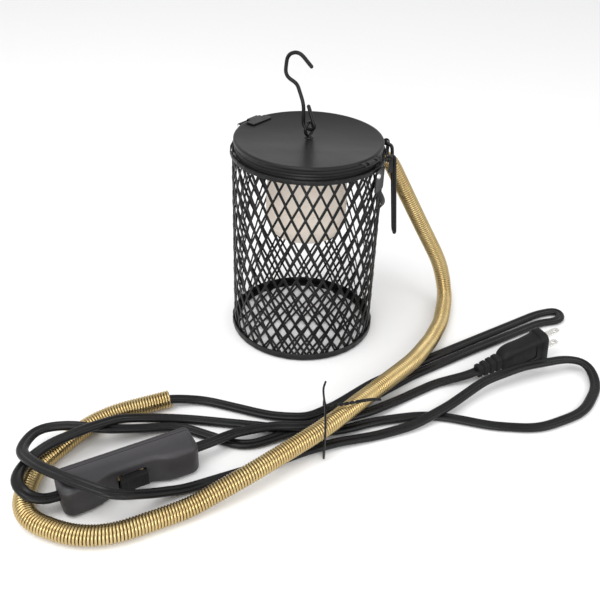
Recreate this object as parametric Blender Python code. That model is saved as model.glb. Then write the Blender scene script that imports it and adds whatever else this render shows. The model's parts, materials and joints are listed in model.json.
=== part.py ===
"""Caged heat lamp holder: a mesh guard and a hinged lid with a ceramic lamp holder.

It has a hook, a latch, a sprung sleeve, a cord, a switch and a plug.

The origin is the centre of the guard's floor, on its underside. +Z is up, along the guard's axis.
Sizes are in millimetres and are turned into metres when each object is made.
"""

import math

import bmesh
import bpy
from mathutils import Matrix, Vector

MM = 0.001
GAP = 0.3

# Guard
WALL_OUT = 61.5
WALL_IN = 60.1
WALL_BOTTOM = 1.6
WALL_TOP = 166.0
WALL_BORDER_LOW = 4.4
WALL_BORDER_HIGH = 8.0
WALL_COLUMNS = 18
WALL_ROWS = 6
OPENING_SHARE = 0.8
FLOOR_R = 59.7
SHEET = 1.2
COLLAR_OUT = 59.5
COLLAR_LOW = 161.6
COLLAR_TOP = 172.9
BAND_OUT = 62.7
BAND_LOW = 162.8
BAND_TOP = 166.4

# Lid
LID_R = 60.0
LID_TOP = 176.0
LID_RIM_LOW = 173.2
LID_UNDER = LID_TOP - SHEET
TAB_AZIMUTH = -41.0

# Hinge of the lid, on a tangent of the guard
HINGE_AZIMUTH = 143.0
HINGE_R = 62.5
HINGE_Z = 172.5
KNUCKLE_R = 2.2
PIN_R = 1.1
PIN_HOLE_R = 1.4

# Latch
BAIL_WIRE_R = 1.45
BAIL_X = 62.8
BAIL_Z = 169.5
EAR_HOLE_R = 1.8
EAR_T = 1.4
PLATE_AZIMUTH = -28.5
RIVET_AZIMUTH = -33.0

# Eye and hook
EYE_Z = 183.0
EYE_R = 5.2
EYE_WIRE_R = 1.3
EYE_SHANK_R = 1.9
HOOK_AZIMUTH = -35.0
HOOK_WIRE_R = 1.5

# Lamp holder, hung from the lid on a strap
HOLDER_TOP = 166.0
HOLDER_LOW = 92.8
SOCKET_TOP = 140.0
SHELL_R = 14.2
SHELL_PITCH = 3.6
STRAP_AZIMUTH = 112.0
STRAP_SCREW_R = 20.0

# Sprung sleeve and the cords
SLEEVE_R = 7.0
SLEEVE_BORE_R = 5.5
SLEEVE_AZIMUTH = 22.0
SLEEVE_Z = 150.0
SLEEVE_HOLE_R = 7.8
CORD_W = 8.4
CORD_T = 4.2
CORD_FLAT = GAP + CORD_T / 2
CORD_TIED = 4.3
CORD_TIED_UPPER = 9.0
CORD_OVER_SLEEVE = 16.8
TIE_X = 20.0
BEND_STEP = math.radians(16)
LONGEST_BEND = 0.49

# Inline switch, lying on its side
SWITCH_CENTRE = (-114.0, -209.0, 12.9)
ROCKER_AXIS_Y = -8.0
CONTACT_AXIS_Y = -2.5
SWITCH_TURN = 30.5
SWITCH_L = 96.0
SWITCH_W = 25.0
SWITCH_D = 25.0
SWITCH_BASE_D = 5.0
SWITCH_WALL = 1.8

# Plug, standing on its narrow side
PLUG_FACE = (206.0, -45.0, 17.0)
PLUG_DIR = (0.87, 0.46, 0.14)
PLUG_L = 68.0
BLADE_L = 17.5
BLADE_W = 6.35
BLADE_T = 1.5
BLADE_PITCH = 12.7

ROUND = 24
WIRE_SIDES = 8


# ---------- general helpers ----------

def clear_scene():
    for thing in list(bpy.data.objects):
        bpy.data.objects.remove(thing, do_unlink=True)


def material(name, colour, roughness, metallic=0.0):
    """A plain Principled material, made once for each name."""
    if name in bpy.data.materials:
        return bpy.data.materials[name]
    made = bpy.data.materials.new(name)
    made.use_nodes = True
    made.diffuse_color = (*colour, 1.0)
    shader = made.node_tree.nodes["Principled BSDF"]
    shader.inputs["Base Color"].default_value = (*colour, 1.0)
    shader.inputs["Roughness"].default_value = roughness
    shader.inputs["Metallic"].default_value = metallic
    return made


def black_paint():
    return material("black_paint", (0.022, 0.022, 0.023), 0.45)


def ceramic():
    return material("ceramic", (0.48, 0.41, 0.34), 0.7)


def zinc_gold():
    return material("zinc_gold", (0.75, 0.58, 0.25), 0.3, 1.0)


def bright_steel():
    return material("bright_steel", (0.7, 0.7, 0.7), 0.3, 1.0)


def brass():
    return material("brass", (0.72, 0.52, 0.25), 0.35, 1.0)


def black_plastic():
    return material("black_plastic", (0.03, 0.03, 0.033), 0.5)


def cord_rubber():
    return material("cord_rubber", (0.015, 0.015, 0.016), 0.55)


def make_object(name, bm, mat, origin=(0, 0, 0)):
    """Turn a bmesh in millimetres into a named object in metres, with its origin at the given point."""
    bmesh.ops.remove_doubles(bm, verts=bm.verts, dist=1e-4)
    bmesh.ops.recalc_face_normals(bm, faces=bm.faces)
    bm.transform(Matrix.Translation(-Vector(origin)))
    bm.transform(Matrix.Scale(MM, 4))
    mesh = bpy.data.meshes.new(name)
    bm.to_mesh(mesh)
    bm.free()
    mesh.shade_smooth()
    mesh.set_sharp_from_angle(angle=math.radians(35))
    mesh.materials.append(mat)
    thing = bpy.data.objects.new(name, mesh)
    thing.location = Vector(origin) * MM
    bpy.context.collection.objects.link(thing)
    return thing


def helper_object(name, bm):
    """An operand for a Boolean, which is not part of the model."""
    thing = make_object(name, bm, black_paint())
    thing.hide_render = True
    thing.display_type = "WIRE"
    return thing


def boolean(thing, operand, operation):
    step = thing.modifiers.new(operation.lower(), "BOOLEAN")
    step.operation = operation
    step.object = operand
    step.solver = "EXACT"


def cut(thing, bm):
    boolean(thing, helper_object(thing.name + "_cutter", bm), "DIFFERENCE")


def unite(thing, bm):
    boolean(thing, helper_object(thing.name + "_added", bm), "UNION")


def polar(azimuth, radius, z=0.0):
    angle = math.radians(azimuth)
    return Vector((radius * math.cos(angle), radius * math.sin(angle), z))


def frame(azimuth, origin=(0, 0, 0)):
    """Local axes at an azimuth: X outwards, Y along the tangent, Z up."""
    return Matrix.Translation(Vector(origin)) @ Matrix.Rotation(math.radians(azimuth), 4, "Z")


def axis_frame(origin, direction, up=(0, 0, 1)):
    """Local axes with X along a direction and Z as near to up as it can be."""
    x = Vector(direction).normalized()
    y = Vector(up).cross(x).normalized()
    z = x.cross(y)
    turn = Matrix((x, y, z)).transposed().to_4x4()
    return Matrix.Translation(Vector(origin)) @ turn


# ---------- shape makers, each returning a bmesh in millimetres ----------

def loft(rings, closed_path=False):
    """Skin over rings of points. An open path gets a flat cap at each end."""
    bm = bmesh.new()
    rows = [[bm.verts.new(point) for point in ring] for ring in rings]
    count = len(rows)
    sides = len(rows[0])
    for k in range(count if closed_path else count - 1):
        here, there = rows[k], rows[(k + 1) % count]
        for i in range(sides):
            j = (i + 1) % sides
            bm.faces.new((here[i], here[j], there[j], there[i]))
    if not closed_path:
        bm.faces.new(rows[0][::-1])
        bm.faces.new(rows[-1])
    return bm


def revolve(profile, steps=ROUND, start=0.0):
    """Turn a closed outline of (radius, z) points about Z."""
    bm = bmesh.new()
    rows = []
    for k in range(steps):
        angle = start + 2 * math.pi * k / steps
        c, s = math.cos(angle), math.sin(angle)
        rows.append([bm.verts.new((r * c, r * s, z)) for r, z in profile])
    sides = len(profile)
    bmesh.ops.remove_doubles(bm, verts=bm.verts, dist=0)
    for k in range(steps):
        here, there = rows[k], rows[(k + 1) % steps]
        for i in range(sides):
            j = (i + 1) % sides
            if profile[i][0] == 0 and profile[j][0] == 0:
                continue
            if profile[i][0] == 0:
                bm.faces.new((here[i], here[j], there[j]))
            elif profile[j][0] == 0:
                bm.faces.new((here[i], here[j], there[i]))
            else:
                bm.faces.new((here[i], here[j], there[j], there[i]))
    return bm


def extruded(outline, length, place=Matrix.Identity(4)):
    """Extrude an outline in local X and Z along local Y, centred, then place it."""
    rings = [[(x, y, z) for x, z in outline] for y in (-length / 2, length / 2)]
    bm = loft(rings)
    bm.transform(place)
    return bm


def box(size, centre, place=Matrix.Identity(4)):
    x, y, z = size
    outline = [(-x / 2, -z / 2), (x / 2, -z / 2), (x / 2, z / 2), (-x / 2, z / 2)]
    return extruded(outline, y, place @ Matrix.Translation(Vector(centre)))


def rod(radius, start, end, steps=16):
    """A cylinder between two points."""
    start, end = Vector(start), Vector(end)
    direction = end - start
    side = direction.orthogonal().normalized()
    other = direction.cross(side).normalized()
    rings = []
    for point in (start, end):
        ring = []
        for i in range(steps):
            angle = 2 * math.pi * i / steps
            ring.append(point + radius * (math.cos(angle) * side + math.sin(angle) * other))
        rings.append(ring)
    return loft(rings)


def tube(outer, inner, start, end, steps=20):
    """A hollow cylinder between two points."""
    start, end = Vector(start), Vector(end)
    length = (end - start).length
    bm = revolve([(outer, 0), (outer, length), (inner, length), (inner, 0)], steps)
    turn = Vector((0, 0, 1)).rotation_difference(end - start).to_matrix().to_4x4()
    bm.transform(Matrix.Translation(start) @ turn)
    return bm


def bent_path(corners):
    """Straight runs joined by round bends. A corner is a point and the radius of its bend."""
    points = [Vector(point) for point, _ in corners]
    path = [points[0]]
    for before, corner, after, (_, radius) in zip(points, points[1:], points[2:], corners[1:]):
        bend = (corner - before).angle(after - corner)
        longest = LONGEST_BEND * min((corner - before).length, (after - corner).length)
        reach = min(radius * math.tan(bend / 2), longest)
        start = corner.lerp(before, reach / (corner - before).length)
        end = corner.lerp(after, reach / (after - corner).length)
        steps = max(2, round(bend / BEND_STEP))
        path += [start.lerp(corner, k / steps).lerp(corner.lerp(end, k / steps), k / steps)
                 for k in range(steps + 1)]
    return [*path, points[-1]]


def path_frames(path, closed=False, upright=False):
    """A side and an up direction at each point, level if upright and untwisted if not."""
    count = len(path)
    frames = []
    side = None
    for k in range(count):
        if closed:
            along = path[(k + 1) % count] - path[k - 1]
        else:
            along = path[min(k + 1, count - 1)] - path[max(k - 1, 0)]
        along.normalize()
        if upright:
            side = along.cross(Vector((0, 0, 1))).normalized()
        elif side is None:
            side = along.orthogonal().normalized()
        else:
            side = (side - along * side.dot(along)).normalized()
        frames.append((side, side.cross(along).normalized()))
    return frames


def sweep(path, section, closed=False, upright=False):
    """Carry a section of (side, up) points along a path."""
    frames = path_frames(path, closed, upright)
    rings = [[point + side * u + up * v for u, v in section]
             for point, (side, up) in zip(path, frames)]
    return loft(rings, closed)


def circle_section(radius, sides):
    angles = [2 * math.pi * (i + 0.5) / sides for i in range(sides)]
    return [(radius * math.cos(a), radius * math.sin(a)) for a in angles]


def cord_section():
    """A flat oval with six corners."""
    w, t = CORD_W / 2, CORD_T / 2
    return [(w, 0), (w * 0.62, t), (-w * 0.62, t), (-w, 0), (-w * 0.62, -t), (w * 0.62, -t)]


# ---------- guard ----------

def wall_mesh():
    """A pierced cylinder with diamond openings in staggered rows, between two plain borders."""
    bm = bmesh.new()
    spots = 2 * WALL_COLUMNS
    low = WALL_BOTTOM + WALL_BORDER_LOW
    high = WALL_TOP - WALL_BORDER_HIGH
    step = (high - low) / (WALL_ROWS + 1)
    layers = []
    for radius in (WALL_OUT, WALL_IN):
        def at(i, z, radius=radius):
            angle = 2 * math.pi * i / spots
            return bm.verts.new((radius * math.cos(angle), radius * math.sin(angle), z))
        corners = {}
        for j in range(1, WALL_ROWS + 1):
            for i in range(j % 2, spots, 2):
                z = low + j * step
                corners[i, j] = {
                    "left": at(i - OPENING_SHARE, z),
                    "right": at(i + OPENING_SHARE, z),
                    "top": at(i, z + OPENING_SHARE * step),
                    "bottom": at(i, z - OPENING_SHARE * step),
                }
        rims = {
            "low": [at(i, WALL_BOTTOM) for i in range(spots)],
            "high": [at(i, WALL_TOP) for i in range(spots)],
        }
        layers.append((corners, rims))

    def both(*names):
        """One face on each layer, from functions that pick its corners."""
        for layer in layers:
            bm.faces.new([pick(*layer) for pick in names])

    def corner(i, j, which):
        return lambda corners, rims: corners[i % spots, j][which]

    def rim(which, i):
        return lambda corners, rims: rims[which][i % spots]

    for (i, j) in layers[0][0]:
        # Strand up to the right, between this opening and the one up and to its right.
        if j < WALL_ROWS:
            both(corner(i, j, "right"), corner(i, j, "top"),
                 corner(i + 1, j + 1, "left"), corner(i + 1, j + 1, "bottom"))
            both(corner(i, j, "left"), corner(i, j, "top"),
                 corner(i - 1, j + 1, "right"), corner(i - 1, j + 1, "bottom"))
        # Crossing to the right of this opening.
        if 1 < j < WALL_ROWS:
            both(corner(i, j, "right"), corner(i + 1, j - 1, "top"),
                 corner(i + 2, j, "left"), corner(i + 1, j + 1, "bottom"))
        for edge_row, which, tip, row_step in ((1, "low", "bottom", 1), (WALL_ROWS, "high", "top", -1)):
            if j != edge_row:
                continue
            both(corner(i, j, "right"), corner(i + 1, j + row_step, tip), corner(i + 2, j, "left"))
            both(corner(i, j, "right"), corner(i + 2, j, "left"), rim(which, i + 1))
            both(corner(i, j, tip), corner(i, j, "right"), rim(which, i + 1), rim(which, i))
            both(corner(i, j, tip), corner(i, j, "left"), rim(which, i - 1), rim(which, i))
    outer, inner = layers
    for key, hole in outer[0].items():
        other = inner[0][key]
        order = ("left", "top", "right", "bottom")
        for k in range(4):
            a, b = order[k], order[(k + 1) % 4]
            bm.faces.new((hole[a], hole[b], other[b], other[a]))
    for which in ("low", "high"):
        for i in range(spots):
            n = (i + 1) % spots
            bm.faces.new((outer[1][which][i], outer[1][which][n], inner[1][which][n], inner[1][which][i]))
    return bm


def sleeve_hole():
    """A cutter for the hole that the sprung sleeve passes through."""
    inside = polar(SLEEVE_AZIMUTH, 50, SLEEVE_Z)
    outside = polar(SLEEVE_AZIMUTH, 70, SLEEVE_Z)
    return rod(SLEEVE_HOLE_R, inside, outside, 12)


def cage_wall():
    wall = make_object("cage_wall", wall_mesh(), black_paint())
    cut(wall, sleeve_hole())


def cage_floor():
    """A disc pierced by diamonds. The crossing at its centre is solid, so the base can be measured there."""
    floor = make_object("cage_floor", revolve([(0, 0), (FLOOR_R, 0), (FLOOR_R, SHEET), (0, SHEET)], 36),
                        black_paint())
    half_w, half_h = 8.2, 12.4
    cell_w, cell_h = 11.0, 15.5
    holes = bmesh.new()
    for i in range(-5, 6):
        for j in range(-4, 5):
            x, y = i * cell_w, j * cell_h
            if (i + j) % 2 == 0 or math.hypot(abs(x) + half_w * 0.7, abs(y) + half_h * 0.7) > 55:
                continue
            rings = [[(x + half_w, y, z), (x, y + half_h, z), (x - half_w, y, z), (x, y - half_h, z)]
                     for z in (-1, SHEET + 1)]
            piece = loft(rings)
            mesh = bpy.data.meshes.new("hole")
            piece.to_mesh(mesh)
            piece.free()
            holes.from_mesh(mesh)
            bpy.data.meshes.remove(mesh)
    cut(floor, holes)


def bottom_ring():
    outer = BAND_OUT + 0.2
    inner = WALL_OUT + 0.4
    profile = [(WALL_IN, 0), (61.4, 0), (outer, 1.6), (outer, 6.6), (inner, 6.6), (inner, 1.3), (WALL_IN, 1.3)]
    make_object("bottom_ring", revolve(profile, 36), black_paint())


def top_band():
    inner = WALL_OUT + 0.4
    profile = [(inner, BAND_LOW), (BAND_OUT, BAND_LOW), (BAND_OUT, BAND_TOP), (inner, BAND_TOP)]
    band = make_object("top_band", revolve(profile, 36), black_paint())
    cut(band, sleeve_hole())


def collar():
    profile = [(COLLAR_OUT - SHEET, COLLAR_LOW), (COLLAR_OUT, COLLAR_LOW),
               (COLLAR_OUT, COLLAR_TOP), (COLLAR_OUT - SHEET, COLLAR_TOP)]
    ring = make_object("collar", revolve(profile, 36), black_paint())
    cut(ring, sleeve_hole())


# ---------- lid and its hinge ----------

def lid_plate():
    """A disc with a turned-down rim and a notched tab."""
    profile = [(0, LID_UNDER), (0, LID_TOP), (LID_R - 0.6, LID_TOP), (LID_R, LID_TOP - 0.5),
               (LID_R, LID_RIM_LOW), (LID_R - 1, LID_RIM_LOW), (LID_R - 1, LID_UNDER)]
    lid = make_object("lid_plate", revolve(profile, 48), black_paint())
    place = frame(TAB_AZIMUTH)
    unite(lid, box((6, 15, 1.6), (LID_R + 0.7, 0, 174.6), place))
    for side in (-1, 1):
        cut(lid, box((2.4, 2.2, 6), (LID_R + 3.2, side * 4.2, 174.6), place))
    cut(lid, rod(EYE_SHANK_R + GAP, (0, 0, 170), (0, 0, 180)))


def hinge_frame():
    return frame(HINGE_AZIMUTH)


def knuckle(length, offset):
    """A plain round knuckle along the hinge's axis."""
    place = hinge_frame()
    return rod(KNUCKLE_R, place @ Vector((HINGE_R, offset - length / 2, HINGE_Z)),
               place @ Vector((HINGE_R, offset + length / 2, HINGE_Z)), 12)


def pin_hole():
    place = hinge_frame()
    return rod(PIN_HOLE_R, place @ Vector((HINGE_R, -20, HINGE_Z)), place @ Vector((HINGE_R, 20, HINGE_Z)), 12)


def hinge_upper_leaf():
    """A plate on top of the lid with a step down to its knuckle."""
    outline = [(46, 176.3), (60.4, 176.3), (60.9, 173.4), (62.0, 173.6), (61.6, 177.3), (46, 177.3)]
    leaf = make_object("hinge_upper_leaf", extruded(outline, 11.0, hinge_frame()), black_paint())
    unite(leaf, knuckle(12.0, 0))
    cut(leaf, pin_hole())


def hinge_lower_leaf():
    """A plate on the guard with a knuckle at each side of the lid's."""
    plate = box((1.1, 26.6, 17), (63.6, 0, 159.3), hinge_frame())
    leaf = make_object("hinge_lower_leaf", plate, black_paint())
    for offset in (-9.8, 9.8):
        unite(leaf, box((1.7, 6.4, 9), (63.5, offset, 168.0), hinge_frame()))
        unite(leaf, knuckle(7.0, offset))
    cut(leaf, pin_hole())


def hinge_pin():
    place = hinge_frame()
    pin = rod(PIN_R, place @ Vector((HINGE_R, -14.2, HINGE_Z)), place @ Vector((HINGE_R, 14.2, HINGE_Z)), 12)
    make_object("hinge_pin", pin, black_paint(), place @ Vector((HINGE_R, 0, HINGE_Z)))


def dome_rivet(name, place, radius, height, mat):
    """A round-headed rivet whose head stands along local X."""
    profile = [(0, 0), (radius, 0), (radius * 0.92, height * 0.5), (radius * 0.55, height * 0.9), (0, height)]
    head = revolve(profile, 12)
    head.transform(place @ Matrix.Rotation(math.radians(90), 4, "Y"))
    make_object(name, head, mat)


# ---------- latch ----------

def latch_ear(name, y):
    """An ear that carries one end of the bail. It stands outside the top band."""
    outline = [(59.9, 167.2), (61.0, 167.2), (63.0, 166.7), (63.0, 158), (65.8, 158), (65.8, 172), (60.2, 172)]
    ear = make_object(name, extruded(outline, EAR_T, Matrix.Translation(Vector((0, y, 0)))), black_paint())
    cut(ear, rod(EAR_HOLE_R, (BAIL_X, y - 3, BAIL_Z), (BAIL_X, y + 3, BAIL_Z), 12))


def latch_plate():
    place = frame(PLATE_AZIMUTH)
    make_object("latch_plate", box((1.1, 15, 19), (64.2, 0, 155.5), place), black_paint())
    dome_rivet("latch_rivet", frame(RIVET_AZIMUTH) @ Matrix.Translation(Vector((65.4, 0, 160.5))),
               2.3, 1.8, bright_steel())


def latch_tongue():
    """A sprung strip that bulges outwards below the plate and holds the bail's handle off the mesh."""
    outline = [(62.6, 145.4), (64.8, 145.4), (68.6, 139.5), (68.2, 134.2), (64.4, 129.5), (62.6, 129.5),
               (62.6, 130.6), (64.0, 130.6), (67.1, 134.6), (67.4, 139.2), (64.3, 144.3), (62.6, 144.3)]
    make_object("latch_tongue", extruded(outline, 7, frame(PLATE_AZIMUTH)), black_paint())


def latch_bail():
    """One wire from ear to ear, with the long handle that hangs down outside the guard."""
    front = [((62.8, -24, 169.5), 0), ((62.8, -17, 169.5), 2), ((67.6, -15, 169.5), 3)]
    handle = [((74.4, -15.5, 100), 5), ((73.6, -5.5, 100), 4)]
    rear = [((67.2, 6.5, 169.5), 3), ((62.8, 8.5, 169.5), 2), ((62.8, 15.4, 169.5), 0)]
    wire = sweep(bent_path([*front, *handle, *rear]), circle_section(BAIL_WIRE_R, WIRE_SIDES))
    make_object("latch_bail", wire, black_paint(), (BAIL_X, 0, BAIL_Z))


def lid_keeper():
    """The wire along the lid's rim that the tab carries."""
    path = [polar(a, 61.7, 171.8) for a in range(-46, -23, 3)]
    make_object("lid_keeper", sweep(path, circle_section(1.1, 6)), black_paint())


# ---------- eye and hook ----------

def ring_path(centre, radius, axis_azimuth, count):
    """A closed circle in an upright plane whose axis lies at the given azimuth."""
    across = polar(axis_azimuth + 90, 1)
    centre = Vector(centre)
    return [centre + radius * (math.cos(a) * across + math.sin(a) * Vector((0, 0, 1)))
            for a in (2 * math.pi * k / count for k in range(count))]


def eye_bolt():
    ring = sweep(ring_path((0, 0, EYE_Z), EYE_R, HOOK_AZIMUTH, 16), circle_section(EYE_WIRE_R, 6), closed=True)
    eye = make_object("eye_bolt", ring, black_paint())
    unite(eye, rod(EYE_SHANK_R, (0, 0, 167.6), (0, 0, EYE_Z - EYE_R + 0.6), 12))


def eye_nut():
    shape = tube(4.04, EYE_SHANK_R + GAP, (0, 0, 168.7), (0, 0, 171.9), 6)
    make_object("eye_nut", shape, bright_steel())


def eye_washer():
    make_object("eye_washer", tube(4.6, EYE_SHANK_R + GAP, (0, 0, 172.2), (0, 0, 173.0), 16), bright_steel())


def hanging_hook():
    """A wire hook with a closed loop at its foot, which passes through the eye."""
    foot = [((-2, 202), 0), ((6.5, 182.6), 5), ((-6, 182.6), 5), ((-6, 201), 25)]
    bight = [((-13, 216), 7), ((-25, 220), 7), ((-23, 237), 12), ((-12, 241), 10), ((1, 231), 0)]
    across = polar(HOOK_AZIMUTH, 1)
    path = bent_path([(across * s + Vector((0, 0, z)), radius) for (s, z), radius in [*foot, *bight]])
    wire = sweep(path, circle_section(HOOK_WIRE_R, WIRE_SIDES))
    make_object("hanging_hook", wire, black_paint(), (0, 0, EYE_Z + EYE_R))


# ---------- lamp holder ----------

def strap_spot(radius, z):
    return polar(STRAP_AZIMUTH, radius, z)


def holder_strap():
    """A bent strap from the lid's centre to two feet on the holder."""
    half = [(0, 174.5), (9.5, 174.5), (15.5, 167.5), (25, 167.5),
            (25, 166.3), (14.9, 166.3), (8.9, 173.3), (0, 173.3)]
    outline = half[:5] + half[5:-1] + [(-x, z) for x, z in reversed(half[1:-1])]
    strap = make_object("holder_strap", extruded(outline, 13, frame(STRAP_AZIMUTH)), bright_steel())
    cut(strap, rod(EYE_SHANK_R + GAP, (0, 0, 170), (0, 0, 178), 12))
    for side in (-1, 1):
        cut(strap, rod(1.9, strap_spot(side * STRAP_SCREW_R, 160), strap_spot(side * STRAP_SCREW_R, 172), 12))


def holder_screw(name, side):
    profile = [(0, 158.6), (1.6, 158.6), (1.6, 167.8), (3.2, 167.8), (3.0, 169.3), (1.6, 169.9), (0, 169.9)]
    shape = revolve(profile, 12)
    shape.transform(Matrix.Translation(strap_spot(side * STRAP_SCREW_R, 0)))
    make_object(name, shape, bright_steel())


def lamp_holder():
    """The ceramic barrel, open below for the lamp."""
    profile = [(0, HOLDER_TOP), (0, SOCKET_TOP), (15.0, SOCKET_TOP), (15.0, 98), (16.6, HOLDER_LOW),
               (23.4, HOLDER_LOW), (26.6, 94), (30.6, 98.2), (33.0, 106), (33.6, 117), (33.0, 134),
               (31.0, 150), (29.6, 163), (28.4, HOLDER_TOP)]
    body = make_object("lamp_holder", revolve(profile, 32), ceramic())
    for side in (-1, 1):
        cut(body, rod(1.9, strap_spot(side * STRAP_SCREW_R, 158), strap_spot(side * STRAP_SCREW_R, 170), 12))


def screw_shell():
    """The lamp's threaded metal shell, with its thread as rings."""
    low, turns, wall, depth = 101.0, 9, 0.5, 0.7
    outside = []
    for k in range(turns + 1):
        outside.append((SHELL_R - (depth if k % 2 else 0), low + k * SHELL_PITCH))
    inside = [(r - wall, z) for r, z in reversed(outside)]
    make_object("screw_shell", revolve(outside + inside, 20), brass())


def centre_contact():
    strip = box((12, 4, 0.6), (0, 0, 136.6))
    make_object("centre_contact", strip, brass(), (0, 0, 136.6))


def holder_terminal(name, radius):
    place = frame(SLEEVE_AZIMUTH)
    make_object(name, box((6, 7, 3.2), (radius, 0, 167.9), place), brass())


def terminal_screw(name, radius):
    start = polar(SLEEVE_AZIMUTH, radius, 169.8)
    make_object(name, rod(1.8, start, start + Vector((0, 0, 1.6)), 12), bright_steel())


def lamp_lead():
    """The slack lead from the sleeve's inner end to the holder, which bends as the lid opens."""
    corners = [((51.5, SLEEVE_Z), 0), ((43, 159), 10), ((35, 170.9), 10), ((20.6, 170.9), 0)]
    path = bent_path([(polar(SLEEVE_AZIMUTH, *place), radius) for place, radius in corners])
    lead = sweep(path, cord_section(), upright=True)
    make_object("lamp_lead", lead, cord_rubber())


# ---------- sprung sleeve and cords ----------

def sleeve_corners():
    """The sleeve's course: out of the guard, down, over the tied cords, round the left and back."""
    low = GAP + SLEEVE_R
    fall = [(polar(SLEEVE_AZIMUTH, 56, SLEEVE_Z), 0), (polar(SLEEVE_AZIMUTH, 73, SLEEVE_Z), 11),
            ((103, 37, 84), 200), ((128, 45, 38), 90), ((136, 40, low), 25)]
    front = [((126, -6, low), 100), ((113, -38, 10), 100), ((94, -76, 16), 120),
             ((20, -165, 19), 150), ((-30, -208, 15), 100)]
    left = [((-70, -235, low), 80), ((-128, -266, low), 60), ((-181, -247, low), 35), ((-181, -203, low), 45),
            ((-150, -150, low), 80), ((-100, -126, low), 20)]
    return fall + front + left


def spring_sleeve():
    """The close-wound spring as a plain tube of the same size."""
    path = bent_path(sleeve_corners())
    outer = sweep(path, circle_section(SLEEVE_R, WIRE_SIDES))
    frames = path_frames(path)
    bm = outer
    caps = [face for face in bm.faces if len(face.verts) == WIRE_SIDES]
    bmesh.ops.delete(bm, geom=caps, context="FACES_ONLY")
    bm.verts.ensure_lookup_table()
    rings = [list(bm.verts)[k * WIRE_SIDES:(k + 1) * WIRE_SIDES] for k in range(len(path))]
    section = circle_section(SLEEVE_BORE_R, WIRE_SIDES)
    bores = [[bm.verts.new(point + side * u + up * v) for u, v in section]
             for point, (side, up) in zip(path, frames)]
    for k in range(len(path) - 1):
        for i in range(WIRE_SIDES):
            j = (i + 1) % WIRE_SIDES
            bm.faces.new((bores[k][i], bores[k + 1][i], bores[k + 1][j], bores[k][j]))
    for k in (0, -1):
        for i in range(WIRE_SIDES):
            j = (i + 1) % WIRE_SIDES
            bm.faces.new((rings[k][i], rings[k][j], bores[k][j], bores[k][i]))
    make_object("spring_sleeve", bm, zinc_gold())


def sleeve_ferrule():
    """The ring inside the guard that stops the sleeve from pulling out."""
    inner, outer = polar(SLEEVE_AZIMUTH, 57, SLEEVE_Z), polar(SLEEVE_AZIMUTH, 58.6, SLEEVE_Z)
    ring = tube(9.8, SLEEVE_R + GAP, inner, outer, 16)
    make_object("sleeve_ferrule", ring, bright_steel())


def sleeve_bush():
    """The ring outside the guard round the sleeve."""
    inner, outer = polar(SLEEVE_AZIMUTH, 63.2, SLEEVE_Z), polar(SLEEVE_AZIMUTH, 65, SLEEVE_Z)
    ring = tube(9.2, SLEEVE_R + GAP, inner, outer, 16)
    make_object("sleeve_bush", ring, black_paint())


def switch_frame():
    """Local axes of the switch: X along the cord, Y to its back, Z up."""
    return frame(SWITCH_TURN, SWITCH_CENTRE)


def plug_frame():
    return axis_frame(PLUG_FACE, PLUG_DIR)


def lamp_cord():
    """From the lamp through the sleeve, out and back on the right, round the left, out again, to the switch."""
    flat, tied, over = CORD_FLAT, CORD_TIED, CORD_OVER_SLEEVE
    inside = [(polar(SLEEVE_AZIMUTH, 54, SLEEVE_Z), 0), *sleeve_corners()[1:]]
    out = [((-76, -120, flat), 40), ((-20, -136, flat), 90), ((8, -138, tied), 20), ((30, -122, tied), 30),
           ((60, -91, flat), 60), ((110, -55, flat), 200), ((220, 20, flat), 40)]
    turn = [((243, 29, flat), 5), ((240, 11, flat), 8)]
    back = [((220, 6, flat), 30), ((150, -40, flat), 200), ((94, -79, flat), 150), ((42, -125, tied), 60),
            ((6, -149, tied), 40), ((-38, -171, flat), 30), ((-90, -151, flat), 40), ((-112, -159, 6), 30),
            ((-138, -173, over), 30), ((-166, -170, over), 50), ((-188, -175, over), 16)]
    front = [((-191, -203, 21), 18), ((-172, -220, 26), 40), ((-148, -234, 30), 60), ((-115, -246, 29), 16),
             ((-98, -229, 13), 30), ((-76, -214, flat), 30), ((-14, -184, flat), 100), ((8, -173, tied), 50),
             ((32, -163, tied), 50)]
    loop = [((60, -153, flat), 60), ((88, -142, 4), 60), ((118, -121, 7), 80), ((150, -93, 11), 60),
            ((184, -75, 13), 60), ((222, -61, 12), 40), ((244, -56, 7), 18), ((247, -82, flat), 45),
            ((226, -117, flat), 50), ((186, -138, flat), 50), ((150, -137, flat), 80), ((104, -126, flat), 80),
            ((60, -137, flat), 80), ((32, -151, tied), 40), ((6, -154, tied), 40)]
    home = [((-24, -148, flat), 60), ((-84, -143, flat), 80), ((-110, -147, 6), 60), ((-131, -160, 16), 50),
            ((-148, -177, 22), 30), ((-172, -194, 21), 40), ((-185, -207, over), 22), ((-186, -229, 20), 18),
            ((-173, -241, 19), 14)]
    place = switch_frame()
    entry = [(place @ Vector((-SWITCH_L / 2 - 9, 0, 0)), 10), (place @ Vector((-SWITCH_L / 2 + 7, 0, 0)), 0)]
    path = bent_path([*inside, *out, *turn, *back, *front, *loop, *home, *entry])
    make_object("lamp_cord", sweep(path, cord_section(), upright=True), cord_rubber())


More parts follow.
